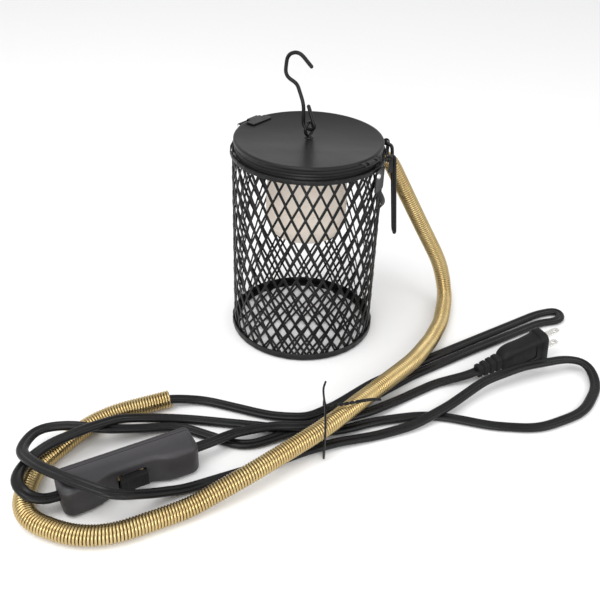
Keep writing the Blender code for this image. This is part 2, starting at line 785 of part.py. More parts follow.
def plug_cord():
    """From the switch, over the other cords at the tie, to the plug."""
    place = switch_frame()
    plug = plug_frame()
    leave = [(place @ Vector((SWITCH_L / 2 - 7, 0, 0)), 0), (place @ Vector((SWITCH_L / 2 + 9, 0, 0)), 20)]
    course = [((-46, -163, 9), 30), ((-20, -153, 8), 40), ((8, -153, CORD_TIED_UPPER), 40),
              ((32, -144, CORD_TIED_UPPER), 40), ((56, -130, 6), 40), ((80, -111, CORD_FLAT), 60),
              ((112, -88, CORD_FLAT), 40)]
    arrive = [(plug @ Vector((-PLUG_L - 8, 0, 0)), 12), (plug @ Vector((-PLUG_L - GAP, 0, 0)), 0)]
    path = bent_path([*leave, *course, *arrive])
    make_object("plug_cord", sweep(path, cord_section(), upright=True), cord_rubber())


def cord_tie():
    """A wire round the tied cords and the sleeve."""
    low, high, near, far = 1.1, 28, -179, -120
    middle = ((TIE_X, -150, low), 0)
    corners = [((TIE_X, near, low), 3), ((TIE_X, near, high), 8), ((TIE_X, -150, high), 12),
               ((TIE_X, far, 8), 3), ((TIE_X, far, low), 3)]
    path = bent_path([middle, *corners, middle])[:-1]
    make_object("cord_tie", sweep(path, circle_section(0.8, 6), closed=True), cord_rubber())


# ---------- switch ----------

def rounded_outline(half_x, half_z, radius, steps=3):
    """A rectangle with round corners, in local X and Z."""
    points = []
    for quarter, (sx, sz) in enumerate(((1, 1), (-1, 1), (-1, -1), (1, -1))):
        for k in range(steps + 1):
            angle = math.pi / 2 * (quarter + k / steps)
            points.append((sx * (half_x - radius) + radius * math.cos(angle),
                           sz * (half_z - radius) + radius * math.sin(angle)))
    return points


def cord_entries(place):
    """A cutter for the slots where the cords enter the switch."""
    return box((SWITCH_L + 10, CORD_W + 1, CORD_T + 1), (0, 0, 0), place)


def switch_cover():
    """The deep front shell, hollow, open at the back, with a window for the rocker."""
    place = switch_frame()
    depth = SWITCH_D - SWITCH_BASE_D - GAP
    middle = -SWITCH_D / 2 + depth / 2
    outline = rounded_outline(SWITCH_L / 2, SWITCH_W / 2, 4)
    shell = extruded(outline, depth, place @ Matrix.Translation((0, middle, 0)))
    cover = make_object("switch_cover", shell, black_plastic())
    hollow = rounded_outline(SWITCH_L / 2 - SWITCH_WALL, SWITCH_W / 2 - SWITCH_WALL, 3)
    cut(cover, extruded(hollow, depth, place @ Matrix.Translation((0, middle + SWITCH_WALL, 0))))
    cut(cover, box((22, 8, 12), (0, -SWITCH_D / 2, 0), place))
    cut(cover, cord_entries(place))


def switch_base():
    """The shallow back shell."""
    place = switch_frame()
    middle = SWITCH_D / 2 - SWITCH_BASE_D / 2
    shell = extruded(rounded_outline(SWITCH_L / 2, SWITCH_W / 2, 4), SWITCH_BASE_D,
                     place @ Matrix.Translation((0, middle, 0)))
    base = make_object("switch_base", shell, black_plastic())
    hollow = rounded_outline(SWITCH_L / 2 - SWITCH_WALL, SWITCH_W / 2 - SWITCH_WALL, 3)
    cut(base, extruded(hollow, SWITCH_BASE_D, place @ Matrix.Translation((0, middle - SWITCH_WALL, 0))))


def switch_rocker():
    """The rocker in the front window. It turns about an upright axis just inside the cover."""
    place = switch_frame()
    axis = place @ Vector((0, ROCKER_AXIS_Y, 0))
    front = [(-9.4, -13.4), (-6, -14.4), (0, -12.6), (6, -12.2), (9.4, -12.0)]
    outline = [*front, (9.2, -8.4), (3, -6.5), (-3, -6.5), (-9.2, -8.4)]
    rings = [[(x, y, z) for x, y in outline] for z in (-5.2, 5.2)]
    shape = loft(rings)
    shape.transform(place)
    make_object("switch_rocker", shape, black_plastic(), axis)


def switch_contact():
    """The bridge that the rocker tips between the two terminals."""
    place = switch_frame()
    axis = place @ Vector((0, CONTACT_AXIS_Y, 0))
    outline = [(-9, -3.2), (0, -3.6), (9, -3.2), (9, -2.2), (0, -1.6), (-9, -2.2)]
    rings = [[(x, y, z) for x, y in outline] for z in (-2.5, 2.5)]
    shape = loft(rings)
    shape.transform(place)
    make_object("switch_contact", shape, brass(), axis)


def switch_terminal(name, side):
    place = switch_frame()
    make_object(name, box((14, 5, 6), (side * 22, 2.5, 0), place), brass())


def switch_screw(name, side):
    """A shell screw, driven from the back shell into the cover."""
    place = switch_frame()
    spot = Vector((side * 36, 0, -6.5))
    start = place @ (spot + Vector((0, -4, 0)))
    end = place @ (spot + Vector((0, 10.2, 0)))
    make_object(name, rod(1.4, start, end, 10), bright_steel())


# ---------- plug ----------

def plug_body():
    """The moulded plug: ribbed strain relief, waisted grip and a flange at the blades."""
    place = plug_frame()
    stations = [(-PLUG_L, 3.8, 5.0), (-PLUG_L + 2, 4.6, 5.8), (-PLUG_L + 22, 5.2, 7.0), (-40, 6.6, 9.6),
                (-34, 7.6, 11.4), (-12, 7.8, 11.4), (-7, 8.2, 12), (-5, 9.2, 13.6), (0, 9.2, 13.6)]
    rings = []
    for x, half_y, half_z in stations:
        corner = min(half_y, half_z) * 0.55
        outline = rounded_outline(half_y, half_z, corner, 1)
        rings.append([place @ Vector((x, y, z)) for y, z in outline])
    make_object("plug_body", loft(rings), black_plastic())


def plug_blade(name, side):
    """A flat blade with a round hole near its end."""
    place = plug_frame()
    middle = side * BLADE_PITCH / 2
    shape = box((BLADE_L, BLADE_W, BLADE_T), (BLADE_L / 2 + GAP, 0, middle), place)
    blade = make_object(name, shape, bright_steel())
    start = place @ Vector((BLADE_L - 4, 0, middle - 3))
    end = place @ Vector((BLADE_L - 4, 0, middle + 3))
    cut(blade, rod(1.5, start, end, 10))


# ---------- assembly ----------

def build():
    clear_scene()
    cage_wall()
    cage_floor()
    bottom_ring()
    top_band()
    collar()
    lid_plate()
    lid_keeper()
    hinge_upper_leaf()
    hinge_lower_leaf()
    hinge_pin()
    for name, offset in (("hinge_rivet_a", -8), ("hinge_rivet_b", 8)):
        place = hinge_frame() @ Matrix.Translation(Vector((64.35, offset, 157)))
        dome_rivet(name, place, 2.0, 1.4, black_paint())
    latch_ear("latch_ear_front", -21.7)
    latch_ear("latch_ear_rear", 12.8)
    latch_plate()
    latch_tongue()
    latch_bail()
    eye_bolt()
    eye_nut()
    eye_washer()
    hanging_hook()
    holder_strap()
    holder_screw("holder_screw_a", -1)
    holder_screw("holder_screw_b", 1)
    lamp_holder()
    screw_shell()
    centre_contact()
    for name, radius in (("a", 16.5), ("b", -16.5)):
        holder_terminal("holder_terminal_" + name, radius)
        terminal_screw("terminal_screw_" + name, radius - 1.0)
    lamp_lead()
    spring_sleeve()
    sleeve_ferrule()
    sleeve_bush()
    lamp_cord()
    plug_cord()
    cord_tie()
    switch_cover()
    switch_base()
    switch_rocker()
    switch_contact()
    for name, side in (("a", -1), ("b", 1)):
        switch_terminal("switch_terminal_" + name, side)
        switch_screw("switch_screw_" + name, side)
    plug_body()
    plug_blade("plug_blade_upper", 1)
    plug_blade("plug_blade_lower", -1)


build()
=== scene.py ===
"""The finished look of the caged heat lamp fixture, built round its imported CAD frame.

Shapes are worked out in millimetres, in the frame's axes, and turned into metres when each piece is made.
"""

import json
import math

import bmesh
import bpy
from mathutils import Matrix, Vector, noise


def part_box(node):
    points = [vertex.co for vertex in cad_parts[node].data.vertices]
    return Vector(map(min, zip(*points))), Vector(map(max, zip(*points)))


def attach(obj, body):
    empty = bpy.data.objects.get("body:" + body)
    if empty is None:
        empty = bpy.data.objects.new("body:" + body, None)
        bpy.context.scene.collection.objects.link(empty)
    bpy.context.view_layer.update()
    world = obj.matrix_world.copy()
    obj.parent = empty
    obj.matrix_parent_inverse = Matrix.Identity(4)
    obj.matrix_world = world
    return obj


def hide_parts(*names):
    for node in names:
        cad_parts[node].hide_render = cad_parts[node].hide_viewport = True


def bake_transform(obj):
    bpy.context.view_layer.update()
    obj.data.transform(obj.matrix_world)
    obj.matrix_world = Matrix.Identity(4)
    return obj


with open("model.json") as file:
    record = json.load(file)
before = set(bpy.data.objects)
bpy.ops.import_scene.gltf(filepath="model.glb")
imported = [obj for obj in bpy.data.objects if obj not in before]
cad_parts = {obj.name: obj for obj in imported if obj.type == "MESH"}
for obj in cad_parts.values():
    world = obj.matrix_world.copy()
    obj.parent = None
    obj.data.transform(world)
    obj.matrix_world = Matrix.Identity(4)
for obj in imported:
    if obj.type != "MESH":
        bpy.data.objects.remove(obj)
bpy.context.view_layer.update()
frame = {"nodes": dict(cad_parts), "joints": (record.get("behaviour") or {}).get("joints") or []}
MM = 0.001


def low(node):
    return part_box(node)[0] / MM


def high(node):
    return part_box(node)[1] / MM


# ---------- sizes read from the frame ----------

WALL_T = 1.4
WALL_OUT = high("cage_wall").x
WALL_TOP = high("cage_wall").z
WALL_LOW = low("cage_wall").z
WALL_IN = WALL_OUT - WALL_T
FLOOR_R = high("cage_floor").x
FLOOR_T = high("cage_floor").z
RING_OUT = high("bottom_ring").x
RING_TOP = high("bottom_ring").z
BAND_OUT = high("top_band").x
BAND_LOW = low("top_band").z
BAND_TOP = high("top_band").z
COLLAR_OUT = high("collar").x
COLLAR_LOW = low("collar").z
COLLAR_TOP = high("collar").z
LID_TOP = high("lid_plate").z
LID_LOW = low("lid_plate").z
LID_R = high("lid_plate").y
HOLDER_TOP = high("lamp_holder").z
HOLDER_LOW = low("lamp_holder").z
SHELL_LOW = low("screw_shell").z
SHELL_TOP = high("screw_shell").z
SHELL_R = high("screw_shell").x

JOINTS = {joint["name"]: joint for joint in frame["joints"]}


def joint_place(name):
    return Vector(JOINTS[name]["pos_m"]) / MM


HINGE = joint_place("lid_hinge")
HINGE_R = math.hypot(HINGE.x, HINGE.y)
HINGE_AZIMUTH = math.degrees(math.atan2(HINGE.y, HINGE.x))
BAIL = joint_place("bail_swing")
EYE_TOP = joint_place("hook_swing")

# ---------- design sizes shared with the CAD ----------

MESH_COLUMNS = 36
MESH_ROWS = 16
MESH_SHARE = 0.81
MESH_TWIST = 0.45
MESH_RIM = 0.6
MESH_TIPS = {"left": (-MESH_SHARE, 0), "right": (MESH_SHARE, 0),
             "top": (0, MESH_SHARE), "bottom": (0, -MESH_SHARE)}
FLOOR_HALF_W = 5.3
FLOOR_HALF_H = 10.9
FLOOR_COLUMNS = 13
FLOOR_ROWS = 7
TAB_AZIMUTH = -41.0
TAB_SIZE = 1.25
PLATE_AZIMUTH = -28.5
RIVET_AZIMUTH = -33.0
HOOK_AZIMUTH = -35.0
EYE_R = 5.2
EYE_WIRE_R = 1.3
HOOK_WIRE_R = 1.5
BAIL_WIRE_R = 1.45
EAR_FRONT_Y = -21.7
EAR_REAR_Y = 12.8
KEEPER_R = 61.7
KEEPER_Z = 171.8
KEEPER_WIRE_R = 1.1
PIN_R = 1.1
SLEEVE_AZIMUTH = 22.0
LEAD_STEP = 0.3
SLEEVE_Z = 150.0
SLEEVE_R = 7.0
SLEEVE_HOLE_R = 7.7
COIL_WIRE_R = 1.02
COIL_PITCH = 2.15
COIL_STEPS = 18
COIL_SIDES = 8
CORD_W = 8.4
CORD_T = 4.2
CORD_FLAT = 2.4
CORD_TIED = 4.3
CORD_TIED_UPPER = 9.0
CORD_OVER_SLEEVE = 16.8
TIE_X = 20.0
TIE_WIRE_R = 0.8
BEND_STEP = math.radians(4)
LONGEST_BEND = 0.49
GAP = 0.3
SWITCH_CENTRE = (-114.0, -209.0, 12.9)
SWITCH_TURN = 30.5
SWITCH_L = 96.0
SWITCH_W = 25.0
SWITCH_D = 25.0
SWITCH_BASE_D = 5.0
SWITCH_EDGE = 4.0
PLUG_FACE = (206.0, -45.0, 17.0)
PLUG_DIR = (0.87, 0.46, 0.14)
PLUG_L = 68.0
PLUG_WING = 2.8
PLUG_FLANGE = -6.6
BLADE_L = 17.5
BLADE_PITCH = 12.7
BLADE_W = 6.35
BLADE_T = 1.5
FLOOR_DROP = 0.0002


# ---------- material helpers ----------

class Graph:
    """A short way to write a node material."""

    def __init__(self, name):
        self.material = bpy.data.materials.new(name)
        self.material.use_nodes = True
        self.tree = self.material.node_tree
        self.place = self.add("TexCoord", "Object")

    def put(self, socket, value):
        """Link another node's output to a socket, or set the socket to a plain value."""
        if hasattr(value, "is_linked"):
            self.tree.links.new(value, socket)
        else:
            socket.default_value = value

    def add(self, kind, output, **inputs):
        """Add a node and give back one of its outputs."""
        node = self.tree.nodes.new("ShaderNode" + kind)
        for key, value in inputs.items():
            self.put(node.inputs[key.replace("_", " ")], value)
        return node.outputs[output]

    def set(self, **inputs):
        """Set inputs of the surface itself."""
        for key, value in inputs.items():
            self.put(self.tree.nodes["Principled BSDF"].inputs[key.replace("_", " ")], value)

    def noise(self, scale, detail=3.0, roughness=0.5, place=None):
        return self.add("TexNoise", "Fac", Scale=scale, Detail=detail, Roughness=roughness,
                        Vector=place or self.place)

    def cells(self, scale):
        return self.add("TexVoronoi", "Distance", Scale=scale, Vector=self.place)

    def stretch(self, x, y, z):
        return self.add("Mapping", "Vector", Scale=(x, y, z), Vector=self.place)

    def ramp(self, value, stops):
        node = self.tree.nodes.new("ShaderNodeValToRGB")
        for element, (position, colour) in zip(node.color_ramp.elements, stops):
            element.position = position
            element.color = (*colour, 1.0)
        self.put(node.inputs["Fac"], value)
        return node.outputs["Color"]

    def span(self, value, start, end, first=0.0, last=1.0):
        return self.add("MapRange", "Result", Value=value, From_Min=first, From_Max=last,
                        To_Min=start, To_Max=end)

    def uneven(self, value, start, end):
        """Roughness from start to end over the middle of a noise's range."""
        return self.span(value, start, end, 0.3, 0.7)

    def mix(self, factor, a, b):
        """Mix two colours. The mixing node names its colour sockets only by number."""
        node = self.tree.nodes.new("ShaderNodeMix")
        node.data_type = "RGBA"
        for number, value in ((0, factor), (6, a), (7, b)):
            self.put(node.inputs[number], value)
        return node.outputs[2]

    def bump(self, height, strength, distance, **below):
        return self.add("Bump", "Normal", Strength=strength, Distance=distance, Height=height, **below)

    def edges(self, start, end):
        """From 0 on flats to 1 along convex edges."""
        return self.span(self.add("NewGeometry", "Pointiness"), 0.0, 1.0, start, end)


MATERIALS = {}


def material(maker):
    """Each material is made once, by its own function."""
    if maker.__name__ not in MATERIALS:
        MATERIALS[maker.__name__] = maker()
    return MATERIALS[maker.__name__]


def black_finish(name, specular, clouds, stops, gloss, grain, worn=None, wiped=None):
    """A near-black surface: cloudy tint, uneven gloss and a fine grain, with paler edges where it is worn."""
    g = Graph(name)
    tint = g.ramp(g.noise(*clouds), stops)
    if worn:
        start, end, pale = worn
        tint = g.mix(g.edges(start, end), tint, (*pale, 1.0))
    gloss_noise, low_gloss, high_gloss = gloss
    grain_noise, strength, distance = grain
    marks = g.noise(*gloss_noise, place=wiped and g.stretch(*wiped))
    g.set(Specular_IOR_Level=specular, Base_Color=tint,
          Roughness=g.uneven(marks, low_gloss, high_gloss),
          Normal=g.bump(g.noise(*grain_noise), strength, distance))
    return g.material


def powder_coat():
    """Satin black powder coat: fine orange peel, faint dust and slightly worn edges."""
    stops = [(0.3, (0.005, 0.005, 0.0052)), (0.75, (0.009, 0.009, 0.0095))]
    return black_finish("powder_coat", 0.22, (35.0, 4.0), stops, ((160.0, 3.0), 0.30, 0.42),
                        ((1500.0, 2.0), 0.16, 0.0002), (0.53, 0.62, (0.030, 0.030, 0.031)))


def lid_coat():
    """The same coat on the broad flat lid, smoother, with faint wiping marks."""
    stops = [(0.3, (0.007, 0.007, 0.0075)), (0.75, (0.011, 0.011, 0.0117))]
    return black_finish("lid_coat", 0.22, (18.0, 5.0), stops, ((12.0, 4.0, 0.6), 0.30, 0.40),
                        ((1700.0, 2.0), 0.08, 0.0002), wiped=(1.0, 3.5, 1.0))


def mesh_coat():
    """Thicker, glossier coat on the expanded metal."""
    stops = [(0.3, (0.004, 0.004, 0.0042)), (0.8, (0.008, 0.008, 0.0084))]
    return black_finish("mesh_coat", 0.20, (60.0, 3.0), stops, ((220.0, 3.0), 0.30, 0.46),
                        ((900.0, 3.0), 0.25, 0.0003), (0.54, 0.66, (0.022, 0.022, 0.023)))


def ceramic():
    """Unglazed beige ceramic with fine speckles and pits."""
    g = Graph("ceramic")
    clay = g.ramp(g.noise(40.0, 5.0, 0.6), [(0.3, (0.80, 0.70, 0.61)), (0.7, (0.88, 0.79, 0.70))])
    specks = g.span(g.noise(900.0, 2.0), 0.0, 0.35, 0.62, 0.72)
    pits = g.bump(g.cells(700.0), 0.12, 0.0003)
    g.set(Base_Color=g.mix(specks, clay, (0.30, 0.23, 0.18, 1.0)),
          Roughness=g.span(g.noise(300.0, 3.0), 0.55, 0.75),
          Normal=g.bump(g.noise(180.0, 4.0), 0.15, 0.0004, Normal=pits))
    return g.material


def yellow_zinc():
    """Yellow passivated zinc: warm gold, with small darker patches."""
    g = Graph("yellow_zinc")
    drift = g.noise(30.0, 3.0, 0.6)
    tint = g.ramp(drift, [(0.3, (0.48, 0.35, 0.155)), (0.7, (0.58, 0.46, 0.235))])
    patches = g.span(g.noise(420.0, 3.0), 0.0, 0.15, 0.5, 0.8)
    g.set(Metallic=1.0, Base_Color=g.mix(patches, tint, (0.30, 0.19, 0.08, 1.0)),
          Roughness=g.uneven(drift, 0.24, 0.32), Normal=g.bump(g.noise(900.0, 2.0), 0.02, 0.0001))
    return g.material


SOFT_BLACK = [(0.3, (0.006, 0.006, 0.0065)), (0.75, (0.011, 0.011, 0.0115))]


def cord_jacket():
    """Flexible black cord jacket with a slightly uneven skin."""
    return black_finish("cord_jacket", 0.22, (45.0, 4.0), SOFT_BLACK, ((260.0, 3.0), 0.26, 0.38),
                        ((1100.0, 2.0), 0.12, 0.0002))


def moulded_plastic():
    """Black moulded plastic with a fine spark-eroded grain."""
    stops = [(0.3, (0.020, 0.0185, 0.021)), (0.75, (0.029, 0.027, 0.030))]
    return black_finish("moulded_plastic", 0.5, (30.0, 4.0), stops, ((240.0, 3.0), 0.44, 0.58),
                        ((2600.0, 2.0), 0.30, 0.00015), (0.53, 0.62, (0.075, 0.07, 0.078)))


def plug_plastic():
    """The plug's softer, darker moulding."""
    return black_finish("plug_plastic", 0.18, (40.0, 4.0), SOFT_BLACK, ((220.0, 3.0), 0.42, 0.56),
                        ((2000.0, 2.0), 0.2, 0.00015))


def bare_metal(name, marks, stops, gloss, relief):
    """Bare metal whose marks give its tint, gloss and relief. relief may name a finer noise of its own."""
    g = Graph(name)
    scale, detail, stretch = marks
    marked = g.noise(scale, detail, 0.6, stretch and g.stretch(*stretch))
    strength, finer = relief
    g.set(Metallic=1.0, Base_Color=g.ramp(marked, stops), Roughness=g.uneven(marked, *gloss),
          Normal=g.bump(g.noise(*finer) if finer else marked, strength, 0.0001))
    return g.material


def bright_zinc():
    """Bright zinc plated steel with fine scratches."""
    stops = [(0.3, (0.60, 0.61, 0.62)), (0.7, (0.80, 0.80, 0.79))]
    return bare_metal("bright_zinc", (500.0, 4.0, (1.0, 6.0, 1.0)), stops, (0.18, 0.36), (0.10, None))


def nickel_blade():
    """Nickel plated blade steel, softly brushed along its length."""
    stops = [(0.3, (0.66, 0.65, 0.62)), (0.7, (0.84, 0.83, 0.80))]
    return bare_metal("nickel_blade", (700.0, 4.0, (1.0, 1.0, 8.0)), stops, (0.20, 0.34), (0.08, None))


def plain_brass():
    """Stamped brass, slightly tarnished."""
    stops = [(0.3, (0.52, 0.36, 0.15)), (0.7, (0.80, 0.60, 0.28))]
    return bare_metal("plain_brass", (140.0, 5.0, None), stops, (0.24, 0.42), (0.12, (900.0, 3.0)))


# ---------- shape helpers, in millimetres ----------

def polar(azimuth, radius, z=0.0):
    angle = math.radians(azimuth)
    return Vector((radius * math.cos(angle), radius * math.sin(angle), z))


def turned(azimuth, origin=(0, 0, 0)):
    """Local axes at an azimuth: X outwards, Y along the tangent, Z up."""
    return Matrix.Translation(Vector(origin)) @ Matrix.Rotation(math.radians(azimuth), 4, "Z")


def axis_frame(origin, direction):
    """Local axes with X along a direction and Y level."""
    x = Vector(direction).normalized()
    y = Vector((0, 0, 1)).cross(x).normalized()
    z = x.cross(y)
    return Matrix.Translation(Vector(origin)) @ Matrix((x, y, z)).transposed().to_4x4()


def loft(rings, closed_path=False):
    """Skin over rings of points, with a cap at each end of an open path."""
    bm = bmesh.new()
    rows = [[bm.verts.new(point) for point in ring] for ring in rings]
    count, sides = len(rows), len(rows[0])
    for k in range(count if closed_path else count - 1):
        here, there = rows[k], rows[(k + 1) % count]
        for i in range(sides):
            j = (i + 1) % sides
            bm.faces.new((here[i], here[j], there[j], there[i]))
    if not closed_path:
        bm.faces.new(rows[0][::-1])
        bm.faces.new(rows[-1])
    return bm


def revolve(profile, steps=144, shape=None):
    """Turn a closed outline of (radius, z) points about Z. shape may change a point at an angle."""
    bm = bmesh.new()
    rows = []
    for k in range(steps):
        angle = 2 * math.pi * k / steps
        row = []
        for r, z in profile:
            if shape is not None:
                r, z = shape(r, z, angle)
            row.append(bm.verts.new((r * math.cos(angle), r * math.sin(angle), z)))
        rows.append(row)
    sides = len(profile)
    for k in range(steps):
        here, there = rows[k], rows[(k + 1) % steps]
        for i in range(sides):
            j = (i + 1) % sides
            if profile[i][0] == 0 and profile[j][0] == 0:
                continue
            if profile[i][0] == 0:
                bm.faces.new((here[i], here[j], there[j]))
            elif profile[j][0] == 0:
                bm.faces.new((here[i], here[j], there[i]))
            else:
                bm.faces.new((here[i], here[j], there[j], there[i]))
    return bm


def prism(outline, length, place=Matrix.Identity(4)):
    """Extrude an outline in local X and Z along local Y, centred."""
    bm = loft([[(x, y, z) for x, z in outline] for y in (-length / 2, length / 2)])
    bm.transform(place)
    return bm


def slab(outline, z_low, z_high, place=Matrix.Identity(4)):
    """Extrude an outline in local X and Y along local Z."""
    bm = loft([[(x, y, z) for x, y in outline] for z in (z_low, z_high)])
    bm.transform(place)
    return bm


def merged(*parts):
    """Put several bmeshes into one."""
    whole = bmesh.new()
    for part in parts:
        mesh = bpy.data.meshes.new("part")
        part.to_mesh(mesh)
        part.free()
        whole.from_mesh(mesh)
        bpy.data.meshes.remove(mesh)
    return whole


def rounded(half_x, half_z, radius, steps=6, centre=(0.0, 0.0)):
    """A rectangle with round corners."""
    points = []
    for quarter, (sx, sz) in enumerate(((1, 1), (-1, 1), (-1, -1), (1, -1))):
        for k in range(steps + 1):
            angle = math.pi / 2 * (quarter + k / steps)
            points.append((centre[0] + sx * (half_x - radius) + radius * math.cos(angle),
                           centre[1] + sz * (half_z - radius) + radius * math.sin(angle)))
    return points


def arc(centre, radius, start, end, steps):
    """Points on an arc between two angles in degrees."""
    return [(centre[0] + radius * math.cos(math.radians(start + (end - start) * k / steps)),
             centre[1] + radius * math.sin(math.radians(start + (end - start) * k / steps)))
            for k in range(steps + 1)]


def smooth_path(points, spacing):
    """Points along a curve through the given ones, about one for each spacing."""
    points = [Vector(p) for p in points]
    ends = [2 * points[0] - points[1], *points, 2 * points[-1] - points[-2]]
    path = [points[0]]
    for k in range(1, len(ends) - 2):
        a, b, c, d = ends[k - 1:k + 3]
        count = max(1, round((c - b).length / spacing))
        for n in range(1, count + 1):
            t = n / count
            path.append(0.5 * (2 * b + (c - a) * t + (2 * a - 5 * b + 4 * c - d) * t * t
                               + (3 * b - a - 3 * c + d) * t ** 3))
    return path


def distances(path):
    """How far along a path each of its points lies."""
    lengths = [0.0]
    for a, b in zip(path, path[1:]):
        lengths.append(lengths[-1] + (b - a).length)
    return lengths


def even_path(path, spacing):
    """The same curve with evenly spaced points."""
    lengths = distances(path)
    count = max(2, round(lengths[-1] / spacing))
    made, k = [], 0
    for n in range(count + 1):
        want = lengths[-1] * n / count
        while k < len(path) - 2 and lengths[k + 1] < want:
            k += 1
        share = (want - lengths[k]) / max(lengths[k + 1] - lengths[k], 1e-9)
        made.append(path[k].lerp(path[k + 1], min(max(share, 0.0), 1.0)))
    return made


def relaxed(path, passes):
    """Soften small kinks, keeping the ends."""
    path = [p.copy() for p in path]
    for _ in range(passes):
        inner = [(path[k - 1] + 2 * path[k] + path[k + 1]) / 4 for k in range(1, len(path) - 1)]
        path[1:-1] = inner
    return path


def bent_path(corners):
    """Straight runs joined by round bends. A corner is a point and the radius of its bend."""
    points = [Vector(point) for point, _ in corners]
    path = [points[0]]
    for before, corner, after, (_, radius) in zip(points, points[1:], points[2:], corners[1:]):
        bend = (corner - before).angle(after - corner)
        longest = LONGEST_BEND * min((corner - before).length, (after - corner).length)
        reach = min(radius * math.tan(bend / 2), longest)
        start = corner.lerp(before, reach / (corner - before).length)
        end = corner.lerp(after, reach / (after - corner).length)
        steps = max(2, round(bend / BEND_STEP))
        path += [start.lerp(corner, k / steps).lerp(corner.lerp(end, k / steps), k / steps)
                 for k in range(steps + 1)]
    return [*path, points[-1]]


def path_frames(path, closed=False, upright=False):
    """A side and an up direction at each point."""
    count = len(path)
    frames, side = [], None
    for k in range(count):
        if closed:
            along = path[(k + 1) % count] - path[k - 1]
        else:
            along = path[min(k + 1, count - 1)] - path[max(k - 1, 0)]
        along.normalize()
        if upright:
            side = along.cross(Vector((0, 0, 1))).normalized()
        elif side is None:
            side = along.orthogonal().normalized()
        else:
            side = (side - along * side.dot(along)).normalized()
        frames.append((side, side.cross(along).normalized()))
    return frames


def sweep(path, section, closed=False, upright=False, scale=None):
    """Carry a section of (side, up) points along a path, scaled at each point if asked."""
    rings = []
    for k, (point, (side, up)) in enumerate(zip(path, path_frames(path, closed, upright))):
        size = scale(k) if scale else 1.0
        rings.append([point + (side * u + up * v) * size for u, v in section])
    return loft(rings, closed)


def circle(radius, sides):
    return [(radius * math.cos(2 * math.pi * i / sides), radius * math.sin(2 * math.pi * i / sides))
            for i in range(sides)]


def round_wire(path, radius, sides=18):
    """A wire with domed ends."""
    lengths = distances(path)
    total = lengths[-1]

    def dome(k):
        near = min(lengths[k], total - lengths[k]) / radius
        return math.sqrt(max(1 - (1 - min(near, 1.0)) ** 2, 0.02))

    return sweep(path, circle(radius, sides), scale=dome if len(path) > 3 else None)


def wire_path(points, spacing=1.2, radius=1.5):
    """A wire's path with extra points at its ends, for the domes."""
    path = even_path(points, spacing)
    first = [path[0].lerp(path[1], t * radius / spacing) for t in (0.06, 0.25, 0.55)]
    last = [path[-1].lerp(path[-2], t * radius / spacing) for t in (0.55, 0.25, 0.06)]
    return [path[0], *first, *path[2:-2], *last, path[-1]]


def soften(thing, width, segments=2, angle=30.0):
    """Round the edges that are sharper than an angle."""
    step = thing.modifiers.new("bevel", "BEVEL")
    step.width = width * MM
    step.segments = segments
    step.limit_method = "ANGLE"
    step.angle_limit = math.radians(angle)
    return step


def piece(name, bm, maker, body, nodes=(), bevel=0.0, segments=2, crease=30.0):
    """Make a shown piece from a bmesh in millimetres, and tie it to its body and CAD nodes."""
    bmesh.ops.remove_doubles(bm, verts=bm.verts, dist=1e-4)
    bmesh.ops.recalc_face_normals(bm, faces=bm.faces)
    bm.transform(Matrix.Scale(MM, 4))
    mesh = bpy.data.meshes.new(name)
    bm.to_mesh(mesh)
    bm.free()
    mesh.shade_smooth()
    mesh.set_sharp_from_angle(angle=math.radians(crease))
    mesh.materials.append(material(maker))
    thing = bpy.data.objects.new(name, mesh)
    bpy.context.scene.collection.objects.link(thing)
    if bevel:
        soften(thing, bevel, segments, crease).harden_normals = True
    if body:
        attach(thing, body)
    if nodes:
        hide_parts(*nodes)
    return thing


def cut(thing, bm):
    """Take a shape out of a piece, at once."""
    bmesh.ops.recalc_face_normals(bm, faces=bm.faces)
    bm.transform(Matrix.Scale(MM, 4))
    mesh = bpy.data.meshes.new("cutter")
    bm.to_mesh(mesh)
    bm.free()
    cutter = bpy.data.objects.new("cutter", mesh)
    bpy.context.scene.collection.objects.link(cutter)
    step = thing.modifiers.new("cut", "BOOLEAN")
    step.operation = "DIFFERENCE"
    step.object = cutter
    graph = bpy.context.evaluated_depsgraph_get()
    hollowed = bpy.data.meshes.new_from_object(thing.evaluated_get(graph))
    thing.modifiers.clear()
    thing.data = hollowed
    bpy.data.objects.remove(cutter)
    hollowed.shade_smooth()
    hollowed.set_sharp_from_angle(angle=math.radians(30))


def rod(radius, start, end):
    return sweep([Vector(start), Vector(end)], circle(radius, 32))


def sleeve_hole():
    """The round way for the sleeve through the guard's wall."""
    return rod(SLEEVE_HOLE_R, polar(SLEEVE_AZIMUTH, 50, SLEEVE_Z), polar(SLEEVE_AZIMUTH, 70, SLEEVE_Z))


# ---------- guard ----------

